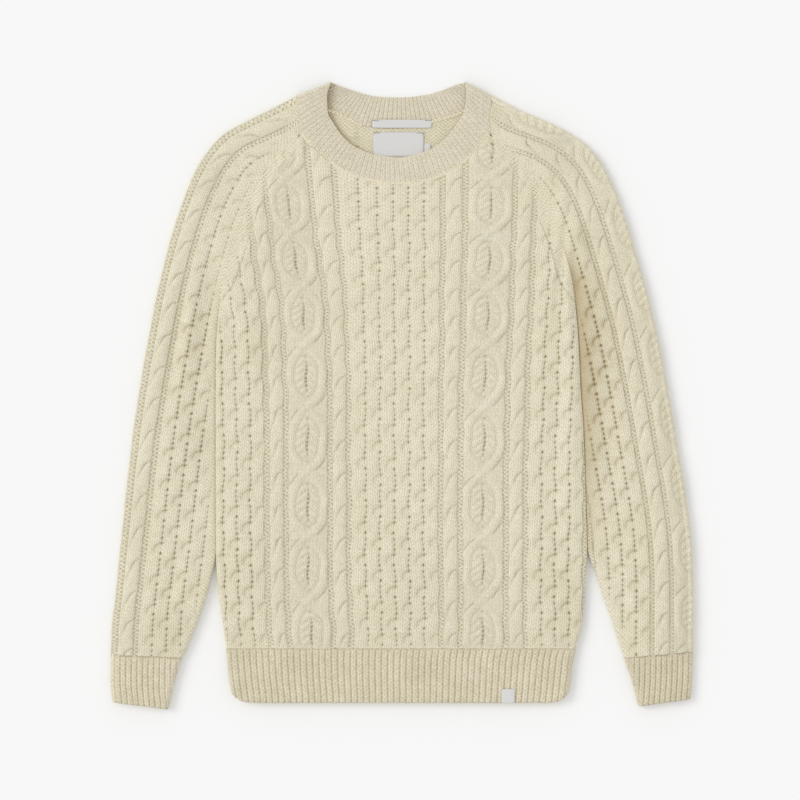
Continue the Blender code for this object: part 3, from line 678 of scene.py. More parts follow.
def new_material(name, roughness, sheen, **finish):
    """A matt material with its tree and its shader."""
    made = bpy.data.materials.new(name)
    made.use_nodes = True
    shader = made.node_tree.nodes["Principled BSDF"]
    for key, value in {"Roughness": roughness, "Sheen Weight": sheen, **finish}.items():
        shader.inputs[key].default_value = value
    return made, made.node_tree, shader


def finish_surface(tree, shader, colour, height, strength, depth):
    """Gives the shader its colour, and its relief as a bump of a depth in millimetres."""
    tree.links.new(colour, shader.inputs["Base Color"])
    bumped = add_node(tree, "ShaderNodeBump", in_Strength=strength, in_Distance=depth * MM, in_Height=height)
    tree.links.new(bumped.outputs[0], shader.inputs["Normal"])


# Handling shifts every stitch a little, so the rows are never in a perfect grid
UNEVEN_ROWS = [
    ("pull_across", "SUBTRACT", "drift_across", 0.5),
    ("wale", "MULTIPLY_ADD", "pull_across", 0.3, "wale"),
    ("pull_up", "SUBTRACT", "drift_up", 0.5),
    ("course", "MULTIPLY_ADD", "pull_up", 0.9, "course"),
]
# Knit V: each stitch has two legs that lean together downwards, in rows of beads
KNIT_V = [
    ("place", "FRACT", "wale"),
    ("off_middle", "SUBTRACT", "place", 0.5),
    ("leg", "ABSOLUTE", "off_middle"),
    ("along", "MULTIPLY_ADD", "leg", -1.3, "course"),
    ("along", "MULTIPLY", "along", math.pi),
    ("along", "SINE", "along"),
    ("beads", "ABSOLUTE", "along"),
    ("turn", "MULTIPLY", "wale", 2 * math.pi),
    ("wave", "SINE", "turn"),
    ("round_leg", "ABSOLUTE", "wave"),
    ("bead_top", "POWER", "beads", 0.5),
    ("leg_top", "POWER", "round_leg", 0.6),
    ("plain", "MULTIPLY", "bead_top", "leg_top"),
    ("bead_gap", "SUBTRACT", 1.0, "beads"),
    ("leg_gap", "SUBTRACT", 1.0, "round_leg"),
    ("between", "MULTIPLY", "bead_gap", "leg_gap"),
]
# Purl: two columns of loops, half a course apart, with painted shade in the gap under each
PURL_LOOPS = [
    ("side", "GREATER_THAN", "wave", 0.0),
    ("stagger", "MULTIPLY_ADD", "side", 0.5, "course"),
    ("stagger", "MULTIPLY", "stagger", 2 * math.pi),
    ("loop", "COSINE", "stagger"),
    ("loop", "MAXIMUM", "loop", 0.0),
    ("ridge", "POWER", "round_leg", 3.0),
    ("dots", "MULTIPLY", "loop", "ridge"),
    ("purl_height", "MULTIPLY_ADD", "dots", -1.4, 0.7),
    ("purl_more", "SUBTRACT", "purl_height", "plain"),
    ("pattern", "MULTIPLY_ADD", "purl_more", "purl", "plain"),
]
# Yarn: how light its fibres, its slubs and its clouds are together
YARN_FLECK = [
    ("fleck", "MULTIPLY_ADD", "fibre", 3.2, -1.6),
    ("fleck", "MULTIPLY_ADD", "slub", 0.7, "fleck"),
    ("fleck", "MULTIPLY_ADD", "cloud", 0.5, "fleck"),
    ("fleck", "MAXIMUM", "fleck", 0.0),
    ("fleck", "MINIMUM", "fleck", 1.0),
]
# Painted shade in the gaps: between the strands, in the purl and between stitches, broken up by fibres that
# cross them
GAPS = [
    ("broken", "MULTIPLY_ADD", "fibre", 3.0, -0.75),
    ("broken", "MAXIMUM", "broken", 0.35),
    ("broken", "MINIMUM", "broken", 1.0),
    ("dots", "MULTIPLY", "dots", "broken"),
    ("purl_dark", "MULTIPLY", "purl", 0.95),
    ("purl_dots", "MULTIPLY", "dots", "purl_dark"),
    ("stitch_gap", "MULTIPLY_ADD", "plain", -0.1, 0.1),
    ("pinhole", "POWER", "between", 2.0),
    ("pinhole", "MULTIPLY", "pinhole", "broken"),
    ("stitch_gap", "MULTIPLY_ADD", "pinhole", 0.66, "stitch_gap"),
    ("depth", "MAXIMUM", "dark", "purl_dots"),
    ("depth", "ADD", "depth", "stitch_gap"),
    ("depth", "MAXIMUM", "depth", 0.0),
    ("depth", "MINIMUM", "depth", 1.0),
    # Painted warm shade of folds, from the shade attribute
    ("fold", "MULTIPLY", "shade", 0.6),
    ("relief", "MULTIPLY_ADD", "fibre", 1.2, "pattern"),
]
# Painted warm shade of wool that mostly sees other wool, in a fold
FOLD_SHADE_TAN = "#A8905F"


def wool(name, light, shade, hole, depth):
    """Undyed wool, worsted-spun and knitted: soft cream, matt with a faint nap.

    The stitch pattern follows the piece's own stitches UV map, in wales across and courses up, and
    the dark attribute paints olive-brown shade, in the painted gap shade colour, into the gaps, creases
    and eyelets between strands. The shade attribute paints the warm tan shade of wool that mostly sees
    other wool, in a fold. The depth is the relief of a stitch."""
    made, tree, shader = new_material(
        name, 0.92, 0.25, **{"Sheen Roughness": 0.5, "Specular IOR Level": 0.2}
    )
    stitches = add_node(tree, "ShaderNodeUVMap", uv_map="stitches").outputs[0]
    split = add_node(tree, "ShaderNodeSeparateXYZ", stitches).outputs
    known = {"wale": split["X"], "course": split["Y"]}
    for mark in ("purl", "dark", "shade"):
        known[mark] = add_node(tree, "ShaderNodeAttribute", attribute_name=mark).outputs["Fac"]
    place = add_node(tree, "ShaderNodeTexCoord").outputs["Object"]
    noises = {}
    for part, size, detail in (("drift", 7, 1.0), ("fibre", 1.5, 2.0), ("slub", 9, 2.0), ("cloud", 60, 2.0)):
        scale = 1 / (size * MM)
        noises[part] = add_node(tree, "ShaderNodeTexNoise", place, in_Scale=scale, in_Detail=detail).outputs
        known[part] = noises[part]["Fac"]
    drift = add_node(tree, "ShaderNodeSeparateXYZ", noises["drift"]["Color"]).outputs
    known |= {"drift_across": drift["X"], "drift_up": drift["Y"]}
    follow(tree, known, [*UNEVEN_ROWS, *KNIT_V, *PURL_LOOPS, *YARN_FLECK, *GAPS])
    colour = add_node(tree, "ShaderNodeMixRGB", known["fleck"], srgb(shade), srgb(light)).outputs[0]
    colour = add_node(tree, "ShaderNodeMixRGB", known["depth"], colour, srgb(hole)).outputs[0]
    colour = add_node(tree, "ShaderNodeMixRGB", known["fold"], colour, srgb(FOLD_SHADE_TAN)).outputs[0]
    finish_surface(tree, shader, colour, known["relief"], 0.8, depth)
    return made


def woven_tape(name, light, shade):
    """Woven satin tape of the labels: cool white, fine weft ribs, a faint gloss."""
    made, tree, shader = new_material(name, 0.55, 0.1)
    place = add_node(tree, "ShaderNodeTexCoord").outputs["Object"]
    weft = add_node(
        tree, "ShaderNodeTexWave", place, bands_direction="Y", in_Scale=1 / (8 * MM), in_Distortion=0.4
    ).outputs["Fac"]
    fleck = add_node(tree, "ShaderNodeTexNoise", place, in_Scale=1 / (2 * MM)).outputs["Fac"]
    steps = [("both", "ADD", "weft", "fleck"), ("share", "MULTIPLY", "both", 0.5)]
    share = follow(tree, {"weft": weft, "fleck": fleck}, steps)["share"]
    colour = add_node(tree, "ShaderNodeMixRGB", share, srgb(shade), srgb(light)).outputs[0]
    finish_surface(tree, shader, colour, weft, 0.2, 0.1)
    return made


def plied_yarn(name, light, shade, twist):
    """Twisted yarn: matt, with the slanting lines of its plies, a twist in millimetres apart."""
    made, tree, shader = new_material(name, 0.9, 0.2, **{"Specular IOR Level": 0.2})
    place = add_node(tree, "ShaderNodeTexCoord").outputs["Object"]
    scale = 0.5 / (twist * MM)
    plies = add_node(
        tree, "ShaderNodeTexWave", place, bands_direction="DIAGONAL", in_Scale=scale, in_Distortion=1.5
    ).outputs["Fac"]
    colour = add_node(tree, "ShaderNodeMixRGB", plies, srgb(shade), srgb(light)).outputs[0]
    finish_surface(tree, shader, colour, plies, 0.5, 0.2)
    return made


def grid_faces(first, rows, columns):
    """Quads of a grid of points that starts at an index."""
    r, c = np.meshgrid(np.arange(rows - 1), np.arange(columns - 1), indexing="ij")
    low = first + r * columns + c
    return np.stack([low, low + 1, low + columns + 1, low + columns], axis=-1).reshape(-1, 4)


def border_fan(fine, coarse, picks):
    """Triangles that close the strip between a fine border and a coarse one."""
    faces = []
    for k in range(len(picks) - 1):
        low, high = picks[k], picks[k + 1]
        middle = (low + high + 1) // 2
        for j in range(low, high):
            faces.append((fine[j], fine[j + 1], coarse[k] if j < middle else coarse[k + 1]))
        faces.append((fine[middle], coarse[k + 1], coarse[k]))
    return faces


def knitted_shell(name, outer, inner, row_picks, column_picks, marks, material, up):
    """A closed shell: a fine knitted outer grid over a coarse plain inside.

    The marks are grids of the outer face. Wale and course become its stitches map, and the others
    are kept at its points for the wool and the ribs. Up says which way the outer face looks."""
    outer, inner = np.asarray(outer, float), np.asarray(inner, float)
    rows, columns = outer.shape[:2]
    count = rows * columns
    quads = grid_faces(0, rows, columns).tolist()
    quads += [face[::-1] for face in grid_faces(count, *inner.shape[:2]).tolist()]
    top = np.arange(count).reshape(rows, columns)
    under = count + np.arange(inner.shape[0] * inner.shape[1]).reshape(inner.shape[:2])
    fans = [face[::-1] for face in border_fan(top[0], under[0], column_picks)]
    fans += border_fan(top[-1], under[-1], column_picks)
    fans += border_fan(top[:, 0], under[:, 0], row_picks)
    fans += [face[::-1] for face in border_fan(top[:, -1], under[:, -1], row_picks)]
    faces = quads + [tuple(int(i) for i in face) for face in fans]
    if not up:
        faces = [face[::-1] for face in faces]
    points = np.concatenate([outer.reshape(-1, 3), inner.reshape(-1, 3)]) * MM
    mesh = bpy.data.meshes.new(name)
    mesh.from_pydata(points.tolist(), [], faces)
    mesh.polygons.foreach_set("use_smooth", [True] * len(quads) + [False] * len(fans))
    grids = {}
    for key, grid in marks.items():
        grid = np.broadcast_to(np.asarray(grid, float), (rows, columns))
        inside = grid[np.ix_(row_picks, column_picks)] * (key != "lift")
        grids[key] = np.concatenate([grid.ravel(), inside.ravel()])
    loops = np.empty(len(mesh.loops), np.int32)
    mesh.loops.foreach_get("vertex_index", loops)
    uv = mesh.uv_layers.new(name="stitches")
    uv.data.foreach_set("uv", np.stack([grids["wale"][loops], grids["course"][loops]], axis=1).ravel())
    for key in sorted(set(grids) - {"wale", "course"}):
        mark = mesh.attributes.new(key, "FLOAT", "POINT")
        mark.data.foreach_set("value", grids[key].astype(np.float32))
    mesh.materials.append(material)
    mesh.validate()
    made = bpy.data.objects.new(name, mesh)
    bpy.context.collection.objects.link(made)
    return made


def geometry_tree(name, sizes):
    """A Geometry Nodes tree that takes and gives a mesh, with its sizes and its wool as named inputs."""
    tree = bpy.data.node_groups.new(name, "GeometryNodeTree")
    kinds = [("Geometry", "Geometry"), *[(size, "Float") for size in sizes], ("Wool", "Material")]
    for label, kind in kinds:
        tree.interface.new_socket(label, in_out="INPUT", socket_type="NodeSocket" + kind)
    tree.interface.new_socket("Geometry", in_out="OUTPUT", socket_type="NodeSocketGeometry")
    return tree, add_node(tree, "NodeGroupInput").outputs


def end_tree(tree, geometry, wool_socket):
    """Makes the instances real, gives them their wool and ends the tree."""
    real = add_node(tree, "GeometryNodeRealizeInstances", geometry).outputs[0]
    dressed = add_node(tree, "GeometryNodeSetMaterial", real, in_Material=wool_socket).outputs[0]
    add_node(tree, "NodeGroupOutput", dressed)


def worked(piece, tree, values):
    """Runs a tree on a piece, with its inputs set by identifier, and keeps the result as its plain mesh."""
    modifier = piece.modifiers.new(tree.name, "NODES")
    modifier.node_group = tree
    for item in tree.interface.items_tree:
        if item.in_out == "INPUT" and item.name in values:
            modifier[item.identifier] = values[item.name]
    graph = bpy.context.evaluated_depsgraph_get()
    evaluated = piece.evaluated_get(graph)
    mesh = bpy.data.meshes.new_from_object(evaluated, preserve_all_data_layers=True, depsgraph=graph)
    mesh.name = piece.name
    piece.modifiers.remove(modifier)
    piece.data = mesh
    return piece


def rib_tree():
    """Raises round ribs out of a plain shell: a rib for each whole turn, as far as the shell's lift says."""
    tree, sizes = geometry_tree("raised_ribs", ["Rib rise", "Rib squareness"])
    known = {"squareness": sizes["Rib squareness"], "full": sizes["Rib rise"]}
    for name in ("turns", "lift"):
        mark = add_node(tree, "GeometryNodeInputNamedAttribute", data_type="FLOAT", in_Name=name)
        known[name] = mark.outputs[0]
    rise = follow(tree, known, [
        ("turn", "MULTIPLY", "turns", math.pi),
        ("wave", "SINE", "turn"),
        ("wave", "ABSOLUTE", "wave"),
        ("profile", "POWER", "wave", "squareness"),
        ("lifted", "MULTIPLY", "profile", "lift"),
        ("rise", "MULTIPLY", "lifted", "full"),
    ])["rise"]
    offset = add_node(tree, "ShaderNodeCombineXYZ", in_Z=rise).outputs[0]
    moved = add_node(tree, "GeometryNodeSetPosition", sizes["Geometry"], in_Offset=offset)
    end_tree(tree, moved.outputs[0], sizes["Wool"])
    return tree


def chain_tree():
    """A linked seam: one V of two slanted loops after another, along a line of edges."""
    tree, sizes = geometry_tree("linked_stitches", ["Stitch pitch", "Loop length", "Loop width", "Slant"])
    line = add_node(tree, "GeometryNodeMeshToCurve", sizes["Geometry"]).outputs[0]
    pitch = sizes["Stitch pitch"]
    spaced = add_node(tree, "GeometryNodeResampleCurve", line, in_Length=pitch, mode="LENGTH").outputs[0]
    loop = add_node(tree, "GeometryNodeMeshUVSphere", in_Segments=7, in_Rings=5, in_Radius=0.5).outputs[0]
    length, width = sizes["Loop length"], sizes["Loop width"]
    size = add_node(tree, "ShaderNodeCombineXYZ", length, width, width).outputs[0]
    both = add_node(tree, "GeometryNodeJoinGeometry")
    for hand in (1.0, -1.0):
        known = follow(tree, {"slant": sizes["Slant"], "width": width}, [
            ("slant", "MULTIPLY", "slant", hand),
            ("aside", "MULTIPLY", "width", -0.45 * hand),
        ])
        leg = add_node(
            tree, "GeometryNodeTransform", loop, in_Scale=size,
            in_Rotation=add_node(tree, "ShaderNodeCombineXYZ", in_Z=known["slant"]).outputs[0],
            in_Translation=add_node(tree, "ShaderNodeCombineXYZ", in_Y=known["aside"]).outputs[0],
        )
        tree.links.new(leg.outputs[0], both.inputs[0])
    tangent = add_node(tree, "GeometryNodeInputTangent").outputs[0]
    facing = add_node(tree, "FunctionNodeAlignRotationToVector", in_Vector=tangent, axis="X").outputs[0]
    chain = add_node(
        tree, "GeometryNodeInstanceOnPoints", spaced, in_Instance=both.outputs[0], in_Rotation=facing
    )
    end_tree(tree, chain.outputs[0], sizes["Wool"])
    return tree


def stitched_line(name, points, tree, sizes, yarn):
    """A row of real stitches along points in millimetres."""
    mesh = bpy.data.meshes.new(name)
    edges = [(i, i + 1) for i in range(len(points) - 1)]
    mesh.from_pydata((np.asarray(points, float) * MM).tolist(), edges, [])
    piece = bpy.data.objects.new(name, mesh)
    bpy.context.collection.objects.link(piece)
    real = {key: value if key == "Slant" else value * MM for key, value in sizes.items()}
    worked(piece, tree, real | {"Wool": yarn})
    piece.data.shade_smooth()
    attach(piece, "root")
    return piece


def as_sheet(piece, node):
    """Puts a knitted piece on the body, in place of its solid, which it hides."""
    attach(piece, "root")
    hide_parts(node)


def laid_across(columns, y, pile=PILE):
    """Column places at each height, piled up beside the seam where the outline narrows."""
    left, right = side_edge("left", y), side_edge("right", y)
    place = stripes_at(columns, y)
    rank = np.arange(place.shape[-1])
    place = np.maximum(place, left + ROLL + pile * (rank + 1))
    return np.minimum(place, right - ROLL - pile * (place.shape[-1] - rank))


RIM = np.array([0.0, 0.04, 0.15, 0.35, 0.65, 1.0]) * ROLL


def body_grid(columns, rows, yoke_rows, corner, neck):
    """(x, y) grid from the hem to the neck edge, straight below the yoke and fanned above."""
    edge = len(RIM)
    low = np.repeat(np.asarray(rows, float)[:, None], len(columns) + 2 * edge, axis=1)
    top_y = np.full(len(columns), corner)
    for _ in range(8):
        top_y = 0.5 * top_y + 0.5 * neck(laid_across(columns, top_y))
    rims = [neck(side_edge("left", corner) + RIM), neck(side_edge("right", corner) - RIM[::-1])]
    top_y = np.concatenate([rims[0], top_y, rims[1]])
    share = (np.arange(1, yoke_rows + 1) / yoke_rows)[:, None]
    y = np.concatenate([low, rows[-1] + (top_y - rows[-1]) * share])
    x = laid_across(columns[None, :], y[:, edge:-edge])
    left = side_edge("left", y[:, :edge]) + RIM
    right = side_edge("right", y[:, -edge:]) - RIM[::-1]
    return np.concatenate([left, x, right], axis=1), y


def run_along(points):
    """Distance along a line at each of its points."""
    return np.concatenate([[0], np.cumsum(np.linalg.norm(np.diff(points, axis=0), axis=1))])


def band_line(table, share):
    """The seam and the free edge of a neckband at shares of its length, and that length."""
    seam = np.array([(row.seam_x, row.seam_y) for row in table])
    run = run_along(seam)
    lines = [through(run / run[-1], column(table, name), share) for name in Band._fields]
    return np.stack(lines[:2], axis=-1), np.stack(lines[2:], axis=-1), run[-1]


def under_collar(x, y):
    """How near a place inside the neck is to the fold of the neckband on its left, where light is short."""
    _, edge, _ = band_line(NECKBAND_FRONT, np.linspace(0, 0.5, 200))
    lowest = np.argmin(edge[:, 1])
    order = np.argsort(edge[:lowest, 1])
    from_edge = x - np.interp(y, edge[order, 1], edge[order, 0])
    return bump(np.maximum(from_edge, 0), 2.6 + 3.4 * ease(290, 325, y), 1.6) * (x < 0) * ease(258, 285, y)


def from_side(x, y):
    """How far a place on the body is from its nearer side edge."""
    return np.minimum(x - side_edge("left", y), side_edge("right", y) - x)


def rolled_drop(inwards):
    """How far the top comes down round a rolled side edge."""
    roll = np.clip(1 - inwards / ROLL, 0, 1)
    return (FRONT_OUT - SIDE_EDGE_OUT) * (1 - np.sqrt(1 - roll**2))


def underside(height, inwards):
    """How far the cabled face of a lower layer stands clear of the floor, between its cables."""
    return np.clip(UNDERSIDE_DEPTH - UNDERSIDE_SHARE * height, 0, 2.5) * ease(0, ROLL, inwards)


def picked(row_picks, column_picks, *grids):
    """A coarse grid of points out of fine grids of x, y and z."""
    return np.stack(grids, -1)[np.ix_(row_picks, column_picks)]


def neckline(table, corner, x):
    """Height of a panel's neck edge, a small gap below the neckband's seam."""
    seam = band_line(table, np.linspace(0, 1, 800))[0]
    return np.minimum(np.interp(x, seam[:, 0], seam[:, 1]), corner) - SEAM


def picks_of(count, step):
    """Every so many indices, with both ends."""
    return sorted({*range(0, count - 1, step), count - 1})


def front_panel(material):
    """The upper layer, cabled all over its outer face."""
    columns = chart_columns(FRONT_STRIPES)
    rows = [HEM_TOP, *np.arange(HEM_TOP + FRONT_ROW_CELL, YOKE, FRONT_ROW_CELL)]
    neck = partial(neckline, NECKBAND_FRONT, NECK_CORNER)
    x, y = body_grid(columns, rows, FRONT_YOKE_ROWS, NECK_CORNER, neck)
    inwards = from_side(x, y)
    row = chart_row(y)
    height, dark, wale, purl = knit(FRONT_STRIPES, chart_column(x, y), row)
    seam_calm = ease(0, ROLL + 9.0 * (1 - rolled(y)), inwards)
    moss = 0.55 * (1 - ease(6.0, 22.0, inwards + 40.0 * rolled(y)))
    gain = spots(GATHERS, x, y, 1) * (0.2 + 0.8 * ease(0, 9, y - HEM_TOP))
    held = 1 - rolled(y) * (1 - ease(0, 12, inwards))
    flat = FRONT_OUT - rolled_drop(inwards) * rolled(y)
    z = flat + height * seam_calm * gain + crease_rise(x, y) * held
    # Painted shade: the dark mark holds the creases' shade, deeper where the knit is gathered, shade above
    # the hem ribs and the dips' shade; the shade mark holds the warm shade of the hollows
    marks = {
        "wale": np.where(moss > 0.25, (x + 0.35 * y) / STITCH, wale),
        "course": row / COURSE,
        "dark": dark * seam_calm * gain + 0.04 * bump(y - HEM_TOP, 32.0) + spots(DIP_SHADES, x, y, 0),
        "purl": np.maximum(purl, moss),
        "shade": hollow_shade(gain, height) * seam_calm,
    }
    row_picks = sorted({*range(0, len(rows), 30), *range(len(rows), len(x), 9), len(x) - 1})
    column_picks = picks_of(x.shape[1], COARSE)
    inner = picked(row_picks, column_picks, x, y, np.full_like(x, FRONT_IN))
    inner[:, [0, -1], 2] -= (FRONT_IN - SIDE_EDGE_IN) * rolled(inner[:, [0, -1], 1])
    outer = np.stack([x, y, z], -1)
    piece = knitted_shell("front_panel_knit", outer, inner, row_picks, column_picks, marks, material, up=True)
    as_sheet(piece, "front_panel")


def back_panel(material):
    """The lower layer: it lies on its cabled face, and its purl side shows inside the neck."""
    columns = chart_columns(FRONT_STRIPES, BACK_CELL)[::2]
    rows = [HEM_TOP, *np.arange(HEM_TOP + COURSE, YOKE, COURSE)]
    neck = partial(neckline, NECKBAND_BACK, BACK_NECK_CORNER)
    x, y = body_grid(columns, rows, BACK_YOKE_ROWS, BACK_NECK_CORNER, neck)
    row = chart_row(y)
    height, dark, _, _ = knit(FRONT_STRIPES, chart_column(x, y), row)
    inwards = from_side(x, y)
    under = underside(np.clip(height, 0, 4), inwards)
    # Painted shade: half the knit's crease shade over an even darkening, and the shade inside the neck beside
    # the front band's fold
    marks = {
        "wale": x / STITCH, "course": row / COURSE, "dark": 0.10 + 0.5 * dark,
        "purl": np.full_like(x, 0.7), "shade": under_collar(x, y),
    }
    row_picks = sorted({*range(0, len(rows), 20), *range(len(rows), len(x))})
    column_picks = picks_of(x.shape[1], 1)
    inside_z = BACK_TOP - 0.4 + 0.4 * ease(1.6, 0.3, height) * ease(0, ROLL, inwards)
    inside = picked(row_picks, column_picks, x, y, inside_z)
    outer = np.stack([x, y, under], -1)
    piece = knitted_shell("back_panel_knit", outer, inside, row_picks, column_picks, marks, material, False)
    as_sheet(piece, "back_panel")


def sleeve_lines(side, seam_y):
    """The seam edge beside the body and the outer fold, at heights of the seam edge."""
    table = SLEEVE_SECTIONS[side][::-1]
    outwards = -1 if side == "left" else 1
    knots = column(table, "seam_y")
    off = through(knots, column(table, "off_body"), seam_y)
    seam_x = side_edge(side, seam_y) + outwards * off
    fold_x = through(knots, column(table, "fold_x"), seam_y)
    fold_y = through(knots, column(table, "fold_y"), seam_y)
    return np.stack([seam_x, seam_y], -1), np.stack([fold_x, fold_y], -1)


def tube(seam, fold, crests, closed):
    """Outer and inner points of a flat rolled strip, and its unrolled distance from the fold.

    Across runs from the seam edge over the top, round the fold and back beneath."""
    width = np.linalg.norm(fold - seam, axis=-1)[:, None]
    along = (fold - seam) / width
    half = FRONT_OUT / 2
    closed = np.asarray(closed, float)[:, None]
    crests = np.sort(crests)[::-1]
    rank = np.arange(len(crests))
    top_q = np.maximum(width - crests, ROLL + PILE * (rank + 1))
    edge_q = RIM[None, :] + 0 * width
    edge_z = FRONT_OUT - rolled_drop(edge_q) * closed
    turn = np.linspace(0, math.pi, ARC_STEPS + 1)
    arc_q = width - ROLL + ROLL * np.sin(turn)
    arc_z = half + half * np.cos(turn) + 0 * width
    under_q = top_q[:, ::-1][:, ::2]
    flat = 0 * width
    q = np.concatenate([edge_q, top_q, arc_q, under_q, edge_q[:, ::-1]], axis=1)
    under_edge_z = FRONT_OUT - edge_z[:, ::-1]
    z = np.concatenate([edge_z, FRONT_OUT + 0 * top_q, arc_z, 0 * under_q, under_edge_z], axis=1)
    unrolled = np.concatenate([
        width - edge_q, width - top_q, ROLL * (1 - turn / (math.pi / 2)) + flat,
        under_q - width, edge_q[:, ::-1] - width,
    ], axis=1)
    points = seam[:, None, :] + along[:, None, :] * q[:, :, None]
    folded = len(RIM) + len(crests)
    middle, back = folded + ARC_STEPS // 2, folded + ARC_STEPS
    last = q.shape[1] - 1
    picks = [*range(0, folded, 8), folded, middle, back, *range(back + COARSE, last - 2, COARSE), last]
    inner_q = np.clip(q[:, picks], 0, width - ROLL)
    inner_z = np.where(np.asarray(picks) <= folded, FRONT_IN, BACK_TOP) + flat
    inner_z[:, picks.index(middle)] = half
    inner_q[:, picks.index(middle)] += HOLLOW / 2
    seam_z = (HOLLOW - SEAM) / 2 * closed[:, 0]
    inner_z[:, 0] -= seam_z
    inner_z[:, -1] += seam_z
    inner = seam[:, None, :] + along[:, None, :] * inner_q[:, :, None]
    return np.dstack([points, z]), np.dstack([inner, inner_z]), unrolled, picks, folded


def sleeve(side, material):
    """A knitted strip rolled into a flat tube, from the neckband down to the cuff."""
    table = SLEEVE_SECTIONS[side]
    fine = np.linspace(table[0].seam_y, table[-1].seam_y, 2000)
    seam, fold = sleeve_lines(side, fine)
    run = run_along((seam + fold) / 2)
    down = np.arange(0, run[-1], ROW_CELL)
    down[-1] = run[-1]
    stations = np.interp(down, run, fine)
    seam, fold = sleeve_lines(side, stations)
    seam[0] += (seam[0] - seam[1]) / np.linalg.norm(seam[0] - seam[1]) * 4 * SEAM
    fold[0] += (fold[0] - fold[1]) / np.linalg.norm(fold[0] - fold[1]) * 4 * SEAM
    stripes = SLEEVE_STRIPES[side]
    sign = 1 if side == "left" else -1
    places = sign * chart_columns(stripes)
    crests = places[places > ROLL + 0.4]
    outer, inner, a, column_picks, folded = tube(seam, fold, crests, rolled(stations))
    width = np.linalg.norm(fold - seam, axis=-1)[:, None]
    up = -SLEEVE_ROWS * down[:, None] + 0 * a
    height, dark, wale, purl = knit(stripes, sign * a, up)
    inwards = width - np.abs(a)
    calm = ease(0, ROLL + 9, inwards) * ease(0, 30, down)[:, None]
    gain = spots(GATHERS, outer[:, :, 0], outer[:, :, 1], 1)
    height = height * calm * gain
    columns = np.arange(a.shape[1])
    top = columns < folded
    arc = (columns >= folded) & (columns <= folded + ARC_STEPS)
    turn = np.where(arc, (columns - folded) / ARC_STEPS * math.pi, 0)
    outwards = (fold - seam) / width
    lift = height * np.where(top, 1.0, np.where(arc, 0.6 * np.cos(turn / 2) ** 2, 0))
    sink = np.where(columns > folded + ARC_STEPS, underside(height, inwards), 0)
    outer[:, :, 2] += lift * np.where(arc, np.cos(turn), 1.0) + sink
    outer[:, :, :2] += outwards[:, None, :] * (lift * np.sin(turn))[:, :, None]
    held = 1 - rolled(stations)[:, None] * (1 - ease(0, 12, inwards))
    x, y = outer[:, :, 0], outer[:, :, 1]
    outer[:, :, 2] += crease_rise(x, y) * held * ease(0, 10, np.abs(a)) * (a > 0) * top
    outer[:, :, 2] -= EDGE_DROP[side] * np.clip(1 - np.abs(a) / 20.0, 0, 1) ** 2 * top
    shade = valley(x, y) * top * (side == "right")
    outer[:, :, 2] -= VALLEY_DROP * shade * ease(0, 10, a)
    outer[:, :, 2] = np.maximum(outer[:, :, 2], 0)
    # Painted shade: along the right sleeve's edge, above the cuff and in the dips; the dark mark also deepens
    # the creases' shade in the valley, and the shade mark holds the valley's and the hollows' warm shade
    edge_shade = 0.12 * (1 - ease(2.0, 16.0, np.abs(a))) * ease(190, 20, stations)[:, None]
    foot = 0.04 * bump(down[-1] - down, 34.0)[:, None]
    spare = (edge_shade * (side == "right") + foot + spots(DIP_SHADES, x, y, 0)) * top
    moss = 0.5 * (1 - ease(6.0, 20.0, inwards)) * (1 - rolled(stations)[:, None])
    marks = {
        "wale": wale, "course": up / COURSE,
        "dark": np.minimum(dark * calm * gain * (1 + 1.5 * shade) + spare, 0.9),
        "shade": np.minimum(shade + hollow_shade(gain, height / gain) * calm * top, 1),
        "purl": np.maximum(purl, np.maximum(moss, 0.6 * (1 - calm))),
    }
    row_picks = picks_of(len(down), 9)
    node, up = "sleeve_" + side, side == "left"
    inner = inner[row_picks]
    piece = knitted_shell(node + "_knit", outer, inner, row_picks, column_picks, marks, material, up)
    as_sheet(piece, node)


def ribbed(piece, ribs, material):
    """Raises the ribs of a piece."""
    sizes = {"Rib rise": RIB_RISE * MM, "Rib squareness": RIB_SQUARENESS}
    return worked(piece, ribs, sizes | {"Wool": material})


def rib_marks(turns, course, lift, spare=0.0):
    """Marks of a ribbed shell: painted shade in the grooves at whole turns."""
    dark = RIB_GROOVE_SHADE * (1 - rib_profile(turns)) + spare
    return {"wale": turns, "course": course / COURSE, "dark": dark, "purl": 0, "turns": turns, "lift": lift}


def cuff(side, material, ribs):
    """A ribbed strip, rolled flat like its sleeve."""
    table = CUFF_SECTIONS[side]
    share = np.linspace(0, 1, 25)
    knots = [0.0, 0.5, 1.0]
    lines = [through(knots, column(table, name), share) for name in Cuff._fields]
    seam, fold = np.stack(lines[:2], -1), np.stack(lines[2:], -1)
    seam[0, 1] += 3 * SEAM
    fold[0, 1] += 3 * SEAM
    width = np.linalg.norm(fold - seam, axis=-1)[:, None]
    span = width[0, 0] - 2 * ROLL
    cells = RIB_CELLS * CUFF_RIBS
    crests = ROLL + span * np.arange(1, cells) / cells
    outer, inner, a, column_picks, folded = tube(seam, fold, crests, np.ones(len(share)))
    turns = (np.abs(a) - ROLL) / span * CUFF_RIBS
    columns = np.arange(a.shape[1])
    calm = ease(0, ROLL, width - np.abs(a))
    under = (columns > folded + ARC_STEPS) * calm
    top = (columns < folded) * calm * ease(0, 0.12, share)[:, None]
    outer[:, :, 2] += UNDER_RIB * under
    x, y = outer[:, :, 0], outer[:, :, 1]
    # Painted shade on the right cuff, with tone that varies at random
    spare = CUFF_SHADE[side] + 0.06 * wander(x, y, 14.0)
    marks = rib_marks(turns, y, top - under * UNDER_RIB / RIB_RISE, spare)
    row_picks = picks_of(len(share), COARSE)
    node, up = "cuff_" + side, side == "left"
    inner = inner[row_picks]
    piece = knitted_shell(node + "_rib", outer, inner, row_picks, column_picks, marks, material, up)
    as_sheet(ribbed(piece, ribs, material), node)


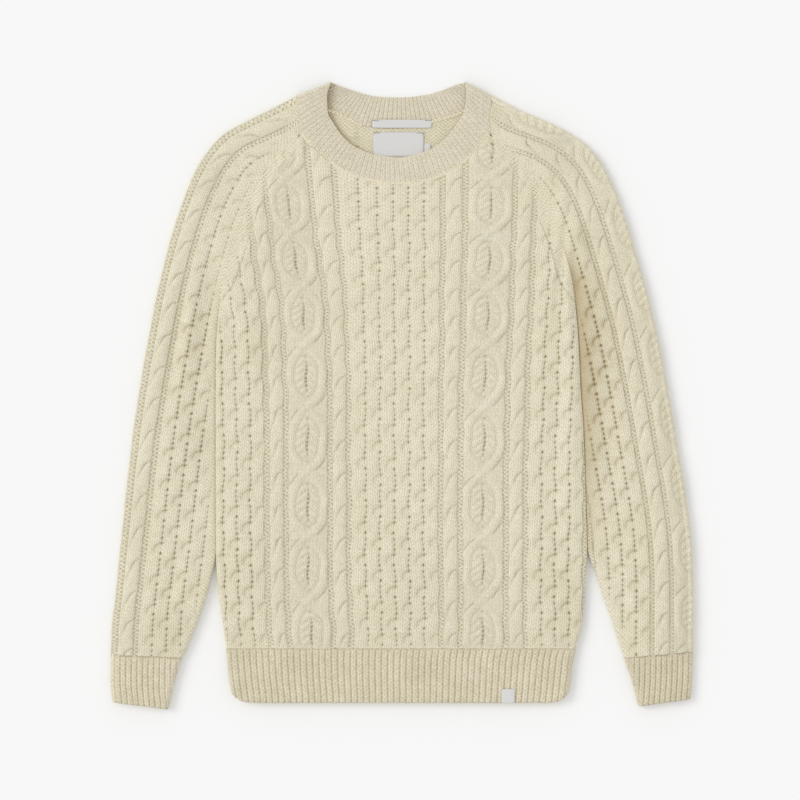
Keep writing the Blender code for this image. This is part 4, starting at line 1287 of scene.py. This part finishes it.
def hem(material, ribs):
    """Ribs at the foot of the front and of the back, with rounded lower corners."""
    rows = np.linspace(0, 1, 25)
    y = (HEM_TOP + SEAM) + (HEM_FOOT - HEM_TOP - SEAM) * rows[::-1]
    cells = np.linspace(0, HEM_RIBS, RIB_CELLS * HEM_RIBS + 1)
    left, right = side_edge("left", y)[:, None], side_edge("right", y)[:, None]
    crests = left + ROLL + (right - left - 2 * ROLL) * cells / HEM_RIBS
    x = np.concatenate([left + RIM, crests[:, 1:-1], right - RIM[::-1]], axis=1)
    turns = np.concatenate([RIM / ROLL - 1, cells[1:-1], HEM_RIBS + 1 - RIM[::-1] / ROLL])
    inwards = np.minimum(x - left, right - x)
    corner = 9.0 * (bump(x - left, 8.0, 1.4) + bump(right - x, 8.0, 1.4))
    y = y[:, None] + corner * (1 - (y[:, None] - HEM_FOOT) / (HEM_TOP - HEM_FOOT)) ** 4
    calm = ease(0, 0.8 * ROLL, inwards)
    from_top = HEM_TOP - y
    lift = calm * (0.35 + 0.65 * ease(0, 7, from_top))
    tuck = 0.5 * bump(from_top - 6.0, 4.0) + 0.5 * bump(y - HEM_FOOT, 2.0)
    marks = rib_marks(turns, y, lift, 0.05 + 0.05 * wander(x, y, 16.0))
    row_picks = picks_of(len(rows), RIB_COARSE)
    column_picks = picks_of(x.shape[1], RIB_COARSE)
    inner = picked(row_picks, column_picks, x, y, np.full_like(x, FRONT_IN))
    inner[:, [0, -1], 2] = SIDE_EDGE_IN
    outer = np.stack([x, y, FRONT_OUT - rolled_drop(inwards) - tuck * calm], -1)
    piece = knitted_shell("hem_front_rib", outer, inner, row_picks, column_picks, marks, material, up=True)
    as_sheet(ribbed(piece, ribs, material), "hem_front")
    marks = rib_marks(turns, y, -calm * UNDER_RIB / RIB_RISE)
    under = np.stack([x, y, UNDER_RIB * calm], -1)
    top = picked(row_picks, column_picks, x, y, np.full_like(x, BACK_TOP))
    piece = knitted_shell("hem_back_rib", under, top, row_picks, column_picks, marks, material, up=False)
    as_sheet(ribbed(piece, ribs, material), "hem_back")


def neckband(name, table, low, high, ends_down, material, ribs):
    """Ribs from the neck seam to the free edge. The front band's ends turn down at the shoulders."""
    length = band_line(table, np.array([0.5]))[2]
    count = round(length / BAND_RIB_PITCH)
    tip = ROLL / length
    cells = np.linspace(0, count, RIB_CELLS * count + 1)[1:-1]
    share = np.concatenate([RIM / length, tip + (1 - 2 * tip) * cells / count, 1 - RIM[::-1] / length])
    turns = np.concatenate([RIM / ROLL - 1, cells, count + 1 - RIM[::-1] / ROLL])
    edge_steps = np.array([0.0, 0.02, 0.06, 0.12])
    across = np.concatenate([edge_steps, np.linspace(0.2, 0.8, 7), 1 - edge_steps[::-1]])[:, None]
    seam, edge, _ = band_line(table, share)
    reach = np.linalg.norm(edge - seam, axis=-1, keepdims=True)
    cover = 3 * SEAM + (2.6 * bump(seam[:, 1:] - NECK_CORNER, 7.0) if ends_down else 0)
    seam = seam - (edge - seam) / reach * cover
    spot = seam[None] + (edge - seam)[None] * across[:, :, None]
    roll = rolled_drop(np.minimum(share, 1 - share) * length) if ends_down else 0
    crown = (1 - np.abs(2 * across - 1) ** 3) * (0.8 if ends_down else 0)
    z = high - roll + crown + 0 * spot[:, :, 0]
    lift = 0.42 * np.sin(math.pi * np.clip(across, 0, 1)) ** 0.3 + 0 * z
    # Painted shade inside the neck, beside the fold of the front band
    collar_shade = 0.75 * under_collar(spot[:, :, 0], spot[:, :, 1]) if not ends_down else 0
    marks = rib_marks(turns + 0 * z, np.linalg.norm(edge - seam, axis=-1) * across, lift)
    marks["dark"] = marks["dark"] * (0.6 if ends_down else 1.0)
    marks["shade"] = collar_shade
    row_picks = [0, 7, len(across) - 1]
    column_picks = picks_of(len(share), RIB_COARSE)
    grid = np.dstack([spot, z])
    inner = grid[np.ix_(row_picks, column_picks)].copy()
    inner[:, :, 2] = low
    if ends_down:
        inner[:, [0, -1], 2] = SIDE_EDGE_IN
    piece = knitted_shell(name + "_rib", grid, inner, row_picks, column_picks, marks, material, up=True)
    as_sheet(ribbed(piece, ribs, material), name)


def linking_seams(yarn, chain):
    """The stitches that link the neckband to the body: round the front, and inside at the back."""
    sizes = {"Stitch pitch": COURSE, "Loop length": 6.4, "Loop width": 1.7, "Slant": 0.14}
    front, _, _ = band_line(NECKBAND_FRONT, np.linspace(0.14, 0.86, 240))
    line = np.column_stack([front, np.full(len(front), FRONT_OUT + 0.1)])
    outside = stitched_line("neckband_linking_front", line, chain, sizes, yarn)
    inside = []
    for side, low, high in (("left", 0.06, 0.335), ("right", 0.66, 0.94)):
        back, _, _ = band_line(NECKBAND_BACK, np.linspace(low, high, 80))
        line = np.column_stack([back, np.full(len(back), BACK_TOP + 0.2)])
        inside.append(stitched_line("neckband_linking_back_" + side, line, chain, sizes, yarn))
    return outside, inside


# Thickness of the woven tape, and the labels that are cut from it
TAPE = 0.6
Patch = namedtuple("Patch", "name x y width height z")
LABELS = [
    Patch("neck_label", -3.8, 276.4, 56.0, 27.4, BACK_TOP + SEAM),
    Patch("neck_strip", 0.0, 299.3, 66.0, 9.0, BACK_TOP + SEAM),
    Patch("size_tab", 27.9, 273.0, 6.6, 10.0, BACK_TOP + SEAM),
    Patch("hem_tab", 116.7, -330.4, 14.3, 15.6, FRONT_OUT + RIB_RISE + SEAM),
]


def label(patch, material, stitches=()):
    """A woven label with softened corners, tacked down at its top corners and a little raised between."""
    u, v = np.meshgrid(np.linspace(-1, 1, 25), np.linspace(-1, 1, 13))
    rounding = 0.045 * (np.abs(u) * np.abs(v)) ** 8
    x = patch.x + patch.width / 2 * u * (1 - rounding)
    y = patch.y + patch.height / 2 * v * (1 - 2 * rounding)
    swell = 0.7 * (1 - u**4) * (0.6 - 0.4 * v) * min(1, patch.height / 20)
    swell = swell + 0.12 * np.sin(3.1 * u + 1.7 * v)
    z = patch.z + TAPE + np.maximum(swell, 0)
    picks_y, picks_x = picks_of(13, 2), picks_of(25, 2)
    under = picked(picks_y, picks_x, x, y, z - TAPE)
    marks = {"wale": x, "course": y, "dark": 0, "purl": 0}
    top = np.stack([x, y, z], -1)
    piece = knitted_shell(patch.name + "_tape", top, under, picks_y, picks_x, marks, material, up=True)
    as_sheet(piece, patch.name)


def tacking(thread, chain):
    """Small stitches of thread that hold the labels inside the neck."""
    sizes = {"Stitch pitch": 1.5, "Loop length": 1.5, "Loop width": 0.35, "Slant": 0.15}
    rows = []
    for patch in LABELS[:2]:
        top, z = patch.y + patch.height / 2 - 0.9, patch.z + TAPE + 0.12
        for hand, side in ((-1, "left"), (1, "right")):
            start = patch.x + hand * (patch.width / 2 - 1.0)
            line = [(start, top, z), (start - hand * 6.0, top, z)]
            rows.append(stitched_line(patch.name + "_tack_" + side, line, chain, sizes, thread))
    return rows


def main():
    cream = wool("undyed_worsted_knit", light="#F5EED8", shade="#E0D8BA", hole="#877D49", depth=0.6)
    rib = wool("undyed_worsted_rib", light="#EFE7D1", shade="#D4C9AA", hole="#8D7F4F", depth=0.6)
    band = wool("undyed_worsted_neck_rib", light="#EDE5D2", shade="#D6CDB2", hole="#8D8052", depth=0.5)
    tape = woven_tape("white_woven_tape", light="#DAD9D7", shade="#D2D1CF")
    yarn = plied_yarn("undyed_linking_yarn", light="#F6EED8", shade="#E4DABC", twist=1.2)
    thread = plied_yarn("grey_sewing_thread", light="#8D8A84", shade="#6E6B66", twist=0.4)
    ribs, chain = rib_tree(), chain_tree()
    front_panel(cream)
    back_panel(cream)
    for side in ("left", "right"):
        sleeve(side, cream)
        cuff(side, rib, ribs)
    hem(rib, ribs)
    outside, inside = linking_seams(yarn, chain)
    neckband("neckband_front", NECKBAND_FRONT, FRONT_IN, FRONT_OUT, True, band, ribs)
    neckband("neckband_back", NECKBAND_BACK, 0.0, BACK_TOP - RIB_RISE, False, band, ribs)
    tacks = tacking(thread, chain)
    for patch, stitches in zip(LABELS, (tacks[:2], tacks[2:], (), ())):
        label(patch, tape, stitches)


main()

# The floor, the lights and the camera
FLOOR_SIDE = 12
ROOM_LIGHT = 0.815
WINDOW_LIGHT = 0.9
WINDOW_SPREAD = math.radians(30)
FROM_WINDOW = (-1.1, 0.4, 1.0)
CAMERA_HEIGHT = 3.01
CAMERA_ASIDE = (-2.2 * MM, -5.0 * MM)
FRAME_WIDTH = 0.88
SENSOR = 36.0


def studio():
    """Pale paper under a large soft light from the upper left, with light all round."""
    bpy.ops.mesh.primitive_plane_add(size=FLOOR_SIDE, location=(0, 0, 0))
    floor = bpy.context.object
    floor.name = "paper_floor"
    finish = {"Base Color": srgb("#F8F8F8"), "Specular IOR Level": 0.0}
    floor.data.materials.append(new_material("white_paper", 1.0, 0.0, **finish)[0])

    world = bpy.data.worlds.new("soft_room")
    bpy.context.scene.world = world
    world.use_nodes = True
    sky = world.node_tree.nodes["Background"].inputs
    sky["Color"].default_value = (1, 1, 1, 1)
    sky["Strength"].default_value = ROOM_LIGHT

    key = bpy.data.lights.new("window_light", "SUN")
    key.energy = WINDOW_LIGHT
    key.angle = WINDOW_SPREAD
    lamp = bpy.data.objects.new("window_light", key)
    lamp.rotation_euler = Vector(FROM_WINDOW).to_track_quat("Z", "Y").to_euler()
    bpy.context.collection.objects.link(lamp)

    view = bpy.data.cameras.new("camera_above")
    view.sensor_width = SENSOR
    view.lens = SENSOR * (CAMERA_HEIGHT - FRONT_OUT * MM) / FRAME_WIDTH
    camera = bpy.data.objects.new("camera_above", view)
    camera.location = (*CAMERA_ASIDE, CAMERA_HEIGHT)
    bpy.context.collection.objects.link(camera)
    bpy.context.scene.camera = camera
    bpy.context.scene.view_settings.view_transform = "Standard"


studio()
